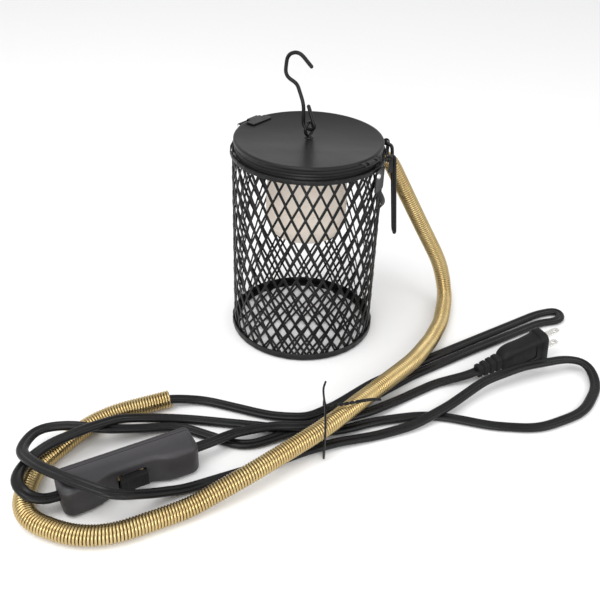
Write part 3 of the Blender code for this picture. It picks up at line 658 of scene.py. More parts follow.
def guard_wall():
    """Expanded metal bent into a cylinder. Each strand is slightly turned, as the press leaves it."""
    bm = bmesh.new()
    spots = 2 * MESH_COLUMNS
    first, last = RING_TOP / 2, BAND_TOP - 1.0
    step = (last - first) / (MESH_ROWS - 1)
    lean = {"left": 0.25, "right": -0.25, "top": 1.0, "bottom": -1.0}

    def at(radius, i, z):
        angle = 2 * math.pi * i / spots
        return bm.verts.new((radius * math.cos(angle), radius * math.sin(angle), z))

    layers = []
    for radius in (WALL_OUT - 0.35, WALL_IN + 0.25):
        holes = {}
        for j in range(1, MESH_ROWS + 1):
            middle = first + (j - 1) * step
            for i in range(j % 2, spots, 2):
                holes[i, j] = {
                    tip: at(radius + MESH_TWIST * lean[tip], i + di,
                            min(max(middle + dj * step, WALL_LOW + MESH_RIM), WALL_TOP - MESH_RIM))
                    for tip, (di, dj) in MESH_TIPS.items()}
        rims = {rim: [at(radius, i, z) for i in range(spots)]
                for rim, z in (("low", WALL_LOW), ("high", WALL_TOP))}
        layers.append((holes, rims))

    def both(*names):
        """The same face in the outer and the inner layer."""
        for holes, rims in layers:
            corners = []
            for name in names:
                if name[0] in ("low", "high"):
                    corners.append(rims[name[0]][name[1] % spots])
                else:
                    corners.append(holes[name[0] % spots, name[1]][name[2]])
            bm.faces.new(corners)

    for (i, j) in layers[0][0]:
        if j < MESH_ROWS:
            both((i, j, "right"), (i, j, "top"), (i + 1, j + 1, "left"), (i + 1, j + 1, "bottom"))
            both((i, j, "left"), (i, j, "top"), (i - 1, j + 1, "right"), (i - 1, j + 1, "bottom"))
        if 1 < j < MESH_ROWS:
            both((i, j, "right"), (i + 1, j - 1, "top"), (i + 2, j, "left"), (i + 1, j + 1, "bottom"))
        for row, rim, tip, way in ((1, "low", "bottom", 1), (MESH_ROWS, "high", "top", -1)):
            if j == row:
                both((i, j, "right"), (i + 1, j + way, tip), (i + 2, j, "left"))
                both((i, j, "right"), (i + 2, j, "left"), (rim, i + 1))
                both((i, j, tip), (i, j, "right"), (rim, i + 1), (rim, i))
                both((i, j, tip), (i, j, "left"), (rim, i - 1), (rim, i))
    outer, inner = layers
    for key, hole in outer[0].items():
        order = ("left", "top", "right", "bottom")
        for k in range(4):
            a, b = order[k], order[(k + 1) % 4]
            bm.faces.new((hole[a], hole[b], inner[0][key][b], inner[0][key][a]))
    for rim in ("low", "high"):
        for i in range(spots):
            n = (i + 1) % spots
            bm.faces.new((outer[1][rim][i], outer[1][rim][n], inner[1][rim][n], inner[1][rim][i]))
    wall = piece("guard_mesh", bm, mesh_coat, "guard", ["cage_wall"])
    cut(wall, sleeve_hole())
    soften(wall, 0.28, 2, 40)


def guard_floor():
    """A disc of the same expanded metal."""
    bm = bmesh.new()
    lean = {"left": 0.1, "right": -0.1, "top": 0.3, "bottom": -0.3}
    layers = []
    for z in (0.25, FLOOR_T - 0.2):
        holes = {}
        for i in range(-FLOOR_COLUMNS, FLOOR_COLUMNS + 1):
            for j in range(-FLOOR_ROWS, FLOOR_ROWS + 1):
                if (i + j) % 2:
                    holes[i, j] = {
                        tip: bm.verts.new(((i + di) * FLOOR_HALF_W, (j + dj) * FLOOR_HALF_H,
                                           z + lean[tip] * 0.5))
                        for tip, (di, dj) in MESH_TIPS.items()}
        layers.append(holes)
    for holes in layers:
        for (i, j), hole in holes.items():
            upper_right, upper_left = holes.get((i + 1, j + 1)), holes.get((i - 1, j + 1))
            if upper_right:
                bm.faces.new((hole["right"], hole["top"], upper_right["left"], upper_right["bottom"]))
            if upper_left:
                bm.faces.new((hole["left"], hole["top"], upper_left["right"], upper_left["bottom"]))
            ring = [holes.get((i + 1, j - 1)), holes.get((i + 2, j)), holes.get((i + 1, j + 1))]
            if all(ring):
                bm.faces.new((hole["right"], ring[0]["top"], ring[1]["left"], ring[2]["bottom"]))
    bottom, top = layers
    seen = {}
    for face in list(bm.faces):
        for edge in face.edges:
            seen[edge] = seen.get(edge, 0) + 1
    partner = {}
    for key, hole in bottom.items():
        for which, vert in hole.items():
            partner[vert] = top[key][which]
    for edge in [e for e, times in seen.items() if times == 1 and all(v in partner for v in e.verts)]:
        a, b = edge.verts
        bm.faces.new((a, b, partner[b], partner[a]))
    loose = [v for v in bm.verts if not v.link_faces]
    bmesh.ops.delete(bm, geom=loose, context="VERTS")
    floor = piece("guard_floor", bm, mesh_coat, "guard", ["cage_floor"])
    inside = FLOOR_R - 2.2
    cut(floor, revolve([(inside, -3), (2 * FLOOR_R, -3), (2 * FLOOR_R, 5), (inside, 5)], 96))
    soften(floor, 0.2, 1, 40)
    band = [(inside - 0.8, 0.05), (FLOOR_R, 0.05), (FLOOR_R, FLOOR_T), (inside - 0.8, FLOOR_T)]
    piece("floor_band", revolve(band), mesh_coat, "guard", (), bevel=0.2)


def bottom_ring():
    """The rolled band at the foot, with a well rounded corner."""
    corner = 2.4
    outside = arc((RING_OUT - corner, corner), corner, -90, 0, 8)
    profile = [(WALL_IN, 0.0), *outside, (RING_OUT, RING_TOP - 0.5), (RING_OUT - 0.35, RING_TOP),
               (WALL_OUT + 0.4, RING_TOP), (WALL_OUT + 0.4, 1.3), (WALL_IN, 1.3)]

    def uneven(r, z, angle):
        """Slight waves where the band is pressed over the strands."""
        wave = 0.16 * math.cos(angle * MESH_COLUMNS) * (1 if r > WALL_OUT else 0)
        return r + wave * min(z / 3, 1.0), z
    piece("guard_foot", revolve(profile, 288, uneven), powder_coat, "guard", ["bottom_ring"])


def top_band():
    """The band that holds the mesh's upper edge, with a weld mark over each crossing."""
    inner = WALL_OUT + 0.35
    profile = [(inner, BAND_LOW), *arc((BAND_OUT - 0.5, BAND_LOW + 0.6), 0.6, -90, 0, 3),
               *arc((BAND_OUT - 0.5, BAND_TOP - 0.6), 0.6, 0, 90, 3), (inner, BAND_TOP)]

    def welds(r, z, angle):
        mark = max(math.cos(angle * MESH_COLUMNS), 0) ** 6
        wobble = 0.3 * noise.noise(Vector((math.cos(angle) * 9, math.sin(angle) * 9, z * 0.2)))
        if r > inner + 0.1:
            r += 0.25 * mark - 0.10 + 0.2 * wobble
            z += 0.30 * mark + wobble
        return r, z
    piece("top_band_shown", revolve(profile, 432, welds), powder_coat, "guard", ["top_band"])


def collar():
    """The recessed sheet collar that the lid closes on, with a rolled bead."""
    inner = COLLAR_OUT - 1.2
    middle = BAND_TOP + 2.6
    bead = [(COLLAR_OUT - 0.5 + 0.5 * math.cos(math.radians(a)), middle + 1.2 * math.sin(math.radians(a)))
            for a in range(-90, 91, 30)]
    profile = [(inner, COLLAR_LOW), (COLLAR_OUT - 0.4, COLLAR_LOW), (COLLAR_OUT - 0.4, middle - 1.4), *bead,
               (COLLAR_OUT - 0.4, middle + 1.4), (COLLAR_OUT - 0.4, COLLAR_TOP - 0.3),
               (COLLAR_OUT - 0.7, COLLAR_TOP), (inner, COLLAR_TOP)]
    piece("collar_shown", revolve(profile), powder_coat, "guard", ["collar"])


# ---------- lid and hinge ----------

def lid():
    """The pressed lid: a flat top, a fine raised edge, a turned-down rim and a notched tab."""
    under = LID_TOP - 1.2
    hole = 2.2
    flat = [(hole, under), (hole, LID_TOP - 0.3), (LID_R - 2.9, LID_TOP - 0.3), (LID_R - 2.4, LID_TOP)]
    rim = [(LID_R - 0.9, LID_TOP), (LID_R - 0.3, LID_TOP - 0.2), (LID_R, LID_TOP - 0.7),
           (LID_R, LID_LOW + 0.35), (LID_R - 0.3, LID_LOW), (LID_R - 0.95, LID_LOW), (LID_R - 0.95, under)]
    piece("lid_disc", revolve(flat + rim, 192), lid_coat, "lid", ["lid_plate"], crease=50)
    half = [(7.3, -2.4), (7.3, 1.2), (6.6, 2.6), (5.2, 2.9), (5.0, 0.9), (3.2, 0.9), (3.0, 2.9)]
    mirrored = [(-along, out) for along, out in half]
    notch = [mirrored[0], *half, *mirrored[:0:-1]]
    outline = [(LID_R + 0.6 + TAB_SIZE * out, TAB_SIZE * along) for along, out in notch]
    tab = slab(outline[::-1], LID_LOW + 0.5, LID_LOW + 2.0, turned(TAB_AZIMUTH))
    piece("lid_tab", tab, powder_coat, "lid", (), bevel=0.35, segments=3)


def curl_leaf(place, plate_points, length, centre, start, sweep_degrees, offset=0.0):
    """A sheet leaf: a plate whose end is rolled round the pin."""
    outer = arc(centre, 2.2, start, start + sweep_degrees, 24)
    inner = arc(centre, 1.32, start + sweep_degrees, start, 24)
    outline = [*plate_points[0], *outer, *inner, *plate_points[1]]
    return prism(outline, length, place @ Matrix.Translation(Vector((0, offset, 0))))


def hinge():
    """The two leaves, curled round the pin, and the pin with its upset ends."""
    place = turned(HINGE_AZIMUTH)
    centre = (HINGE_R, HINGE.z)
    under, top = LID_TOP + 0.35, LID_TOP + 1.25
    upper_plate = [[(56.0, top), (60.2, top)], [(60.3, under), (56.0, under)]]
    upper = curl_leaf(place, upper_plate, 11.6, centre, 115, -300)
    strip = slab(rounded(4.2, 11.5, 1.2, 5, (52.0, 0.0)), under, top, place)
    piece("lid_leaf", merged(upper, strip), powder_coat, "lid", ["hinge_upper_leaf"],
          bevel=0.15, crease=40)
    lower_parts = [slab_plate(place)]
    far, near, foot = HINGE_R + 1.6, HINGE_R + 0.65, 152
    for offset in (-9.8, 9.8):
        plate = [[(far, foot), (far, HINGE.z - 2.0)], [(near, HINGE.z - 3.0), (near, foot)]]
        lower_parts.append(curl_leaf(place, plate, 6.8, centre, -40, 290, offset))
    piece("guard_leaf", merged(*lower_parts), powder_coat, "guard", ["hinge_lower_leaf"],
          bevel=0.15, crease=40)
    head = [(14.6, 0.55), (14.5, 0.85), (14.1, 1.25), (13.4, 1.3)]
    stations = [*((-y, size) for y, size in head), (0, 1.12 / PIN_R), *head[::-1]]
    pin_path = [place @ Vector((HINGE_R, y, HINGE.z)) for y, _ in stations]
    pin = sweep(pin_path, circle(PIN_R, 24), scale=lambda k: stations[k][1])
    piece("hinge_pin_shown", pin, bright_zinc, "guard", ["hinge_pin"])


def slab_plate(place):
    """The lower leaf's plate, on the guard's outside."""
    outline = rounded(13.3, 8.4, 2.0, 6, (0.0, 159.0))
    bm = loft([[(x, y, z) for y, z in outline] for x in (63.05, 64.1)])
    bm.transform(place)
    return bm


def dome(name, place, radius, height, maker, body, nodes):
    """A round-headed rivet with a slightly flattened crown."""
    steps = 10
    profile = [(0, -0.6), (radius * 0.6, -0.6), (radius * 0.6, 0)]
    profile += [(radius * math.cos(math.radians(a)) ** 0.8, height * math.sin(math.radians(a)))
                for a in (90 * k / steps for k in range(steps))]
    profile += [(0, height)]
    bm = revolve(profile, 40)
    bm.transform(place @ Matrix.Rotation(math.radians(90), 4, "Y"))
    piece(name, bm, maker, body, nodes, crease=50)


# ---------- latch ----------

def ear(name, y, node):
    """A sheet ear with a rounded head and a hole for the bail's end."""
    head = arc((BAIL.x, BAIL.z), 2.95, -15, 180, 16)
    outline = [(62.95, 158), (65.75, 158), *head, (59.85, 167.2), (61.2, 167.0), (62.95, 166.4)]
    ring = [(BAIL.x + x, BAIL.z + z) for x, z in circle(1.75, 20)]
    place = Matrix.Translation(Vector((0, y, 0)))
    shape = piece(name, prism(outline, 1.4, place), powder_coat, "guard", [node])
    cut(shape, prism(ring, 6, place))
    soften(shape, 0.2)


def latch_plate():
    """The riveted plate under the front ear, pressed to the guard's curve."""
    outline = rounded(7.5, 9.5, 2.4, 6, (0.0, 155.5))
    bm = loft([[(x - (y * y) / (2 * x), y, z) for y, z in outline] for x in (63.6, 64.7)])
    bm.transform(turned(PLATE_AZIMUTH))
    piece("latch_plate_shown", bm, powder_coat, "guard", ["latch_plate"], bevel=0.3, segments=3)
    dome("latch_rivet_shown", turned(RIVET_AZIMUTH) @ Matrix.Translation(Vector((64.9, 0, 160.5))), 2.4, 1.6,
         bright_zinc, "guard", ["latch_rivet"])


def latch_tongue():
    """A sprung strip that bulges out below the plate."""
    middle = [(63.2, 146.2), (64.0, 145.2), (66.0, 142.4), (67.9, 139.0), (68.3, 136.4), (67.3, 133.6),
              (65.2, 131.2), (63.6, 130.0)]
    path = even_path(smooth_path([Vector((x, 0, z)) for x, z in middle], 0.8), 0.8)
    rings = []
    for k, point in enumerate(path):
        along = (path[min(k + 1, len(path) - 1)] - path[max(k - 1, 0)]).normalized()
        out = Vector((0, 1, 0)).cross(along).normalized()
        rings.append([point + Vector((0, 1, 0)) * u + out * v for u, v in rounded(3.5, 0.5, 0.35, 2)])
    bm = loft(rings)
    bm.transform(turned(PLATE_AZIMUTH))
    piece("latch_tongue_shown", bm, powder_coat, "guard", ["latch_tongue"], crease=50)


def bail():
    """One wire from ear to ear, with the long handle that hangs outside the guard."""
    front = [((62.8, -24, 169.5), 0), ((62.8, -17, 169.5), 2), ((67.6, -15, 169.5), 3)]
    handle = [((74.4, -15.5, 100), 5), ((73.6, -5.5, 100), 4)]
    rear = [((67.2, 6.5, 169.5), 3), ((62.8, 8.5, 169.5), 2), ((62.8, 15.4, 169.5), 0)]
    path = relaxed(wire_path(bent_path([*front, *handle, *rear]), 1.3, BAIL_WIRE_R), 2)
    piece("bail_shown", round_wire(path, BAIL_WIRE_R, 20), powder_coat, "bail", ["latch_bail"], crease=60)


def keeper():
    """The wire under the tab that the bail's handle closes over."""
    path = wire_path([polar(-46 + 1.1 * k, KEEPER_R, KEEPER_Z) for k in range(21)], 1.0, KEEPER_WIRE_R)
    piece("keeper_shown", round_wire(path, KEEPER_WIRE_R, 16), powder_coat, "lid", ["lid_keeper"], crease=60)


# ---------- eye and hook ----------

def eye():
    """The ring eye with its shank and a small shoulder that sits on the lid."""
    across = polar(HOOK_AZIMUTH + 90, 1)
    centre = Vector((0, 0, EYE_TOP.z - EYE_R))
    path = [centre + EYE_R * (math.cos(a) * across + math.sin(a) * Vector((0, 0, 1)))
            for a in (2 * math.pi * k / 56 for k in range(56))]
    ring = sweep(path, circle(EYE_WIRE_R, 18), closed=True)
    low_end = low("eye_bolt").z
    foot = centre.z - 5.0
    shank = revolve([(0, low_end), (1.6, low_end), (1.9, low_end + 0.4), (1.9, foot - 0.4), (1.5, foot),
                     (0, foot)], 32)
    shoulder = revolve([(1.4, LID_TOP - 0.2), (3.4, LID_TOP - 0.2), (3.3, LID_TOP + 0.45),
                        (2.4, LID_TOP + 0.85), (1.4, LID_TOP + 0.95)], 40)
    piece("eye_shown", merged(ring, shank, shoulder), powder_coat, "lid", ["eye_bolt"], crease=50)


def hook():
    """A bent wire hook with a closed loop at its foot."""
    foot = [((-2, 202), 0), ((6.5, 182.6), 5), ((-6, 182.6), 5), ((-6, 201), 25)]
    bight = [((-13, 216), 7), ((-25, 220), 7), ((-23, 237), 12), ((-12, 241), 10), ((1, 231), 0)]
    across = polar(HOOK_AZIMUTH, 1)
    points = bent_path([(across * s + Vector((0, 0, z)), radius) for (s, z), radius in [*foot, *bight]])
    path = relaxed(wire_path(points, 1.0, HOOK_WIRE_R), 3)
    piece("hook_shown", round_wire(path, HOOK_WIRE_R, 22), powder_coat, "hook", ["hanging_hook"], crease=60)


# ---------- lamp holder ----------

def holder():
    """The ceramic barrel with two turned lines, a rounded foot and a stepped mouth."""
    side = [(33.0, 106), (33.5, 112), (33.6, 117)]
    groove = [(33.45, 121.6), (32.9, 122.0), (32.9, 122.8), (33.45, 123.2)]
    upper = [(33.2, 130), (32.6, 138), (31.6, 146), (30.4, 156), (29.9, 160.6)]
    top_line = [(29.3, 161.0), (29.3, 161.8), (29.7, 162.2), (29.6, 163.6), (28.4, HOLDER_TOP)]
    foot = [(22.6, HOLDER_LOW + 0.3), (24.2, HOLDER_LOW), (26.0, 93.7), (28.0, 95.1), (30.4, 98.0),
            (32.0, 101.8)]
    mouth = [(15.0, 140), (15.0, 98.2), (15.4, 97.2), (17.4, 96.8), (17.8, 96.0), (18.2, HOLDER_LOW + 0.6),
             (18.8, HOLDER_LOW)]
    profile = [(0, HOLDER_TOP), (0, 140), *mouth, *foot, *side, *groove, *upper, *top_line]
    body = piece("holder_shown", revolve(profile, 128), ceramic, "lid", ["lamp_holder"], crease=45)
    for side_sign in (-1, 1):
        spot = polar(112, side_sign * 20.0)
        cut(body, rod(1.9, spot + Vector((0, 0, 158)), spot + Vector((0, 0, 170))))


def threaded_shell():
    """The lamp's shell, with a true rolled thread, thickened to sheet."""
    bm = bmesh.new()
    steps, pitch, depth = 72, 3.6, 0.75
    levels = round((SHELL_TOP - SHELL_LOW) / 0.4)
    rows = []
    for n in range(levels + 1):
        z = SHELL_LOW + (SHELL_TOP - SHELL_LOW) * n / levels
        row = []
        for k in range(steps):
            angle = 2 * math.pi * k / steps
            wave = 0.5 - 0.5 * math.cos(2 * math.pi * z / pitch + angle)
            r = SHELL_R - depth * wave
            row.append(bm.verts.new((r * math.cos(angle), r * math.sin(angle), z)))
        rows.append(row)
    for a, b in zip(rows, rows[1:]):
        for k in range(steps):
            n = (k + 1) % steps
            bm.faces.new((a[k], a[n], b[n], b[k]))
    shell = piece("shell_shown", bm, plain_brass, "lid", ["screw_shell"], crease=60)
    thick = shell.modifiers.new("sheet", "SOLIDIFY")
    thick.thickness = 0.45 * MM
    thick.offset = -1.0


def lead():
    """The lead from the sleeve to the holder."""
    corners = [((51.5, SLEEVE_Z), 0), ((43, 159), 10), ((35, 170.9), 10), ((20.6, 170.9), 0)]
    points = bent_path([(polar(SLEEVE_AZIMUTH, *place), radius) for place, radius in corners])
    path = even_path(points, LEAD_STEP)
    made = piece("lead_shown", sweep(path, cord_section(), upright=True), cord_jacket, None,
                 ["lamp_lead"], crease=50)
    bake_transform(made)


# ---------- sleeve ----------

def sleeve_corners():
    """The sleeve's course: out of the guard, down, over the tied cords, round the left and back."""
    low = GAP + SLEEVE_R
    fall = [(polar(SLEEVE_AZIMUTH, 56, SLEEVE_Z), 0), (polar(SLEEVE_AZIMUTH, 73, SLEEVE_Z), 11),
            ((103, 37, 84), 200), ((128, 45, 38), 90), ((136, 40, low), 25)]
    front = [((126, -6, low), 100), ((113, -38, 10), 100), ((94, -76, 16), 120),
             ((20, -165, 19), 150), ((-30, -208, 15), 100)]
    left = [((-70, -235, low), 80), ((-128, -266, low), 60), ((-181, -247, low), 35), ((-181, -203, low), 45),
            ((-150, -150, low), 80), ((-100, -126, low), 20)]
    return fall + front + left


def coil():
    """The close-wound spring sleeve, wound from one wire."""
    spine = relaxed(even_path(bent_path(sleeve_corners()), 3.0), 4)
    frames = path_frames(spine)
    lengths = distances(spine)
    turns = lengths[-1] / COIL_PITCH
    count = int(turns * COIL_STEPS)
    radius = SLEEVE_R - COIL_WIRE_R
    rings, k = [], 0
    for n in range(count + 1):
        s = lengths[-1] * n / count
        while k < len(spine) - 2 and lengths[k + 1] < s:
            k += 1
        t = (s - lengths[k]) / (lengths[k + 1] - lengths[k])
        point = spine[k].lerp(spine[k + 1], t)
        side = frames[k][0].lerp(frames[k + 1][0], t).normalized()
        up = frames[k][1].lerp(frames[k + 1][1], t).normalized()
        along = up.cross(side)
        angle = 2 * math.pi * n / COIL_STEPS
        out = side * math.cos(angle) + up * math.sin(angle)
        rings.append([point + out * (radius + COIL_WIRE_R * u) + along * (COIL_WIRE_R * v)
                      for u, v in circle(1.0, COIL_SIDES)])
    piece("coil_sleeve", loft(rings), yellow_zinc, "guard", ["spring_sleeve"], crease=80)


def sleeve_rings():
    """The ferrule inside the guard and the bush outside it."""
    for name, node, r_out, a, b, maker in (("ferrule_shown", "sleeve_ferrule", 9.8, 57.0, 58.6, bright_zinc),
                                           ("bush_shown", "sleeve_bush", 9.2, 63.2, 65.0, powder_coat)):
        bore = SLEEVE_R + 0.25
        long = b - a
        profile = [(bore, 0), (r_out - 0.5, 0), (r_out, 0.5), (r_out, long - 0.5), (r_out - 0.5, long),
                   (bore, long)]
        bm = revolve(profile, 64)
        way = polar(SLEEVE_AZIMUTH, 1)
        turn = Vector((0, 0, 1)).rotation_difference(way).to_matrix().to_4x4()
        bm.transform(Matrix.Translation(polar(SLEEVE_AZIMUTH, a, SLEEVE_Z)) @ turn)
        piece(name, bm, maker, "guard", [node], crease=50)


# ---------- cords ----------

def cord_section():
    """Two round cores side by side, with the groove that splits them."""
    r = CORD_T / 2
    centre = CORD_W / 2 - r
    right = arc((centre, 0), r, -140, 140, 11)
    left = arc((-centre, 0), r, 40, 320, 11)
    return right + left


def switch_frame():
    return turned(SWITCH_TURN, SWITCH_CENTRE)


def plug_frame():
    return axis_frame(PLUG_FACE, PLUG_DIR)


def cord_mesh(corners):
    path = relaxed(even_path(bent_path(corners), 3.5), 3)
    return sweep(path, cord_section(), upright=True)


def lamp_cord():
    """Lamp to switch: through the sleeve, then twice out to the right and back round the left."""
    flat, tied, over = CORD_FLAT, CORD_TIED, CORD_OVER_SLEEVE
    inside = [(polar(SLEEVE_AZIMUTH, 54, SLEEVE_Z), 0), *sleeve_corners()[1:]]
    out = [((-76, -120, flat), 40), ((-20, -136, flat), 90), ((8, -138, tied), 20), ((30, -122, tied), 30),
           ((60, -91, flat), 60), ((110, -55, flat), 200), ((220, 20, flat), 40)]
    turn = [((243, 29, flat), 5), ((240, 11, flat), 8)]
    back = [((220, 6, flat), 30), ((150, -40, flat), 200), ((94, -79, flat), 150), ((42, -125, tied), 60),
            ((6, -149, tied), 40), ((-38, -171, flat), 30), ((-90, -151, flat), 40), ((-112, -159, 6), 30),
            ((-138, -173, over), 30), ((-166, -170, over), 50), ((-188, -175, over), 16)]
    front = [((-191, -203, 21), 18), ((-172, -220, 26), 40), ((-148, -234, 30), 60), ((-115, -246, 29), 16),
             ((-98, -229, 13), 30), ((-76, -214, flat), 30), ((-14, -184, flat), 100), ((8, -173, tied), 50),
             ((32, -163, tied), 50)]
    loop = [((60, -153, flat), 60), ((88, -142, 4), 60), ((118, -121, 7), 80), ((150, -93, 11), 60),
            ((184, -75, 13), 60), ((222, -61, 12), 40), ((244, -56, 7), 18), ((247, -82, flat), 45),
            ((226, -117, flat), 50), ((186, -138, flat), 50), ((150, -137, flat), 80),
            ((104, -126, flat), 80), ((60, -137, flat), 80), ((32, -151, tied), 40), ((6, -154, tied), 40)]
    home = [((-24, -148, flat), 60), ((-84, -143, flat), 80), ((-110, -147, 6), 60), ((-131, -160, 16), 50),
            ((-148, -177, 22), 30), ((-172, -194, 21), 40), ((-185, -207, over), 22), ((-186, -229, 20), 18),
            ((-173, -241, 19), 14)]
    place = switch_frame()
    entry = [(place @ Vector((-SWITCH_L / 2 - 9, 0, 0)), 10), (place @ Vector((-SWITCH_L / 2 + 7, 0, 0)), 0)]
    points = [*inside, *out, *turn, *back, *front, *loop, *home, *entry]
    piece("lamp_cord_shown", cord_mesh(points), cord_jacket, "guard", ["lamp_cord"], crease=50)


def plug_cord():
    """Switch to plug."""
    place, plug = switch_frame(), plug_frame()
    leave = [(place @ Vector((SWITCH_L / 2 - 7, 0, 0)), 0), (place @ Vector((SWITCH_L / 2 + 9, 0, 0)), 20)]
    course = [((-46, -163, 9), 30), ((-20, -153, 8), 40), ((8, -153, CORD_TIED_UPPER), 40),
              ((32, -144, CORD_TIED_UPPER), 40), ((56, -130, 6), 40), ((80, -111, CORD_FLAT), 60),
              ((112, -88, CORD_FLAT), 40)]
    arrive = [(plug @ Vector((-PLUG_L - 8, 0, 0)), 12), (plug @ Vector((-PLUG_L + 1.5, 0, 0)), 0)]
    points = [*leave, *course, *arrive]
    piece("plug_cord_shown", cord_mesh(points), cord_jacket, "guard", ["plug_cord"], crease=50)


def tie():
    """The wire tie: a loop round the bundle, one end standing up and a twisted tail to the right."""
    low, high, near, far = 1.1, 28, -179, -120
    middle = ((TIE_X, -150, low), 0)
    corners = [((TIE_X, near, low), 3), ((TIE_X, near, high), 8), ((TIE_X, -150, high), 12),
               ((TIE_X, far, 8), 3), ((TIE_X, far, low), 3)]
    path = even_path(bent_path([middle, *corners, middle]), 1.5)[:-1]
    loop = sweep(path, circle(TIE_WIRE_R, 12), closed=True)
    knot = Vector((TIE_X + 0.5, -152, 28.8))
    upright = [knot, knot + Vector((-1.5, 2, 4)), knot + Vector((-2.5, 5, 12)), knot + Vector((-1.0, 7, 18))]
    up_wire = round_wire(wire_path(smooth_path(upright, 1.0), 1.0, TIE_WIRE_R), TIE_WIRE_R, 12)
    tail_points = [knot, knot + Vector((6, 1.5, 0.2)), knot + Vector((14, 2.5, 0.8)),
                   knot + Vector((24, 6, 0.4))]
    spine = even_path(smooth_path(tail_points, 1.0), 1.0)
    strands = []
    for phase in (0.0, math.pi):
        rings = []
        for k, (point, (side, high_side)) in enumerate(zip(spine, path_frames(spine, upright=True))):
            angle = phase + k * 0.75
            rings.append(point + (side * math.cos(angle) + high_side * math.sin(angle)) * 0.75)
        strands.append(sweep(rings, circle(0.72, 10)))
    flat_end = [knot + Vector((24, 6, 0.4)), knot + Vector((32, 9.5, -0.4)), knot + Vector((41, 12, -1.4))]
    blade = sweep(even_path(smooth_path(flat_end, 1.5), 1.5), rounded(1.5, 0.55, 0.4, 3), upright=True)
    piece("tie_shown", merged(loop, up_wire, *strands, blade), cord_jacket, "guard", ["cord_tie"],
          crease=60)


# ---------- switch ----------

def switch_outline(front, back):
    """The cover seen from above: two humps at the front, with a dip between them for the rocker."""
    half = SWITCH_L / 2
    dip = front + 5.2
    corner = 6.5
    left_hump = [*arc((-half + corner, front + corner), corner, 180, 270, 8), (-half + 18, front + 0.3),
                 (-half + 24, front + 1.5), (-half + 29, front + 3.6), (-14.5, dip)]
    right_hump = [(-x, y) for x, y in reversed(left_hump)]
    return [(-half, back), *left_hump, *right_hump, (half, back)]


def softened(outline, fixed, far, share, place):
    """A block whose ends and far side curve in towards its top and bottom. Its fixed side stays flat."""
    half, half_z, radius = SWITCH_L / 2, SWITCH_W / 2, SWITCH_EDGE
    turns = [math.radians(90 * k / 8) for k in range(9)]
    levels = [(radius * (1 - math.sin(t)) - half_z, radius * (1 - math.cos(t))) for t in reversed(turns)]
    levels += [(half_z - radius * (1 - math.sin(t)), radius * (1 - math.cos(t))) for t in turns]
    rings = [[place @ Vector((x * (1 - inset / half), y + share * inset * (fixed - y) / abs(fixed - far), z))
              for x, y in outline] for z, inset in levels]
    return loft(rings)


def switch_shells():
    """Two moulded shells with well rounded edges and a parting line."""
    place = switch_frame()
    half, half_z = SWITCH_L / 2, SWITCH_W / 2
    front, back = -SWITCH_D / 2, SWITCH_D / 2
    seam = back - SWITCH_BASE_D - 0.25
    cover = piece("switch_cover_shown", softened(switch_outline(front, seam), seam, front, 1.0, place),
                  moulded_plastic, "guard", ["switch_cover"], crease=45)
    hollow = [(-half + 5, seam + 2), (-half + 5, front + 9), (half - 5, front + 9), (half - 5, seam + 2)]
    cut(cover, slab(hollow, -half_z + 5, half_z - 5, place))
    cut(cover, slab(rounded(10.1, 6, 1, 3, (0, front + 6)), -5.8, 5.8, place))
    entries = sweep([place @ Vector((-SWITCH_L, 0, 0)), place @ Vector((SWITCH_L, 0, 0))],
                    [(u * 1.1, v * 1.16) for u, v in rounded(CORD_W / 2, CORD_T / 2, 1.7, 6)], upright=True)
    cut(cover, entries)
    behind = seam + 0.5
    outline = [(-half, behind), (half, behind), (half, back - 2.4), (half - 0.7, back - 0.8),
               (half - 2.4, back), (-half + 2.4, back), (-half + 0.7, back - 0.8), (-half, back - 2.4)]
    piece("switch_base_shown", softened(outline, behind, back, 0.4, place), moulded_plastic, "guard",
          ["switch_base"], crease=50)


def switch_rocker():
    """The rocker between the humps, dished, with three grip ridges at each end."""
    place = switch_frame()
    top = []
    for k in range(41):
        x = -9.8 + 19.6 * k / 40
        tilt = 0.12 * x
        dish = 1.1 * (x / 9.4) ** 2
        ridge = 0.28 * max(math.cos(2 * math.pi * (abs(x) - 7.4) / 1.7), 0) if abs(x) > 4.6 else 0.0
        top.append((x, -12.6 + tilt - dish - ridge))
    outline = [*top, (9.2, -8.4), (3, -6.5), (-3, -6.5), (-9.2, -8.4)]
    piece("rocker_shown", slab(outline, -5.5, 5.5, place), plug_plastic, "rocker", ["switch_rocker"],
          bevel=0.3, segments=2, crease=60)


# ---------- plug ----------

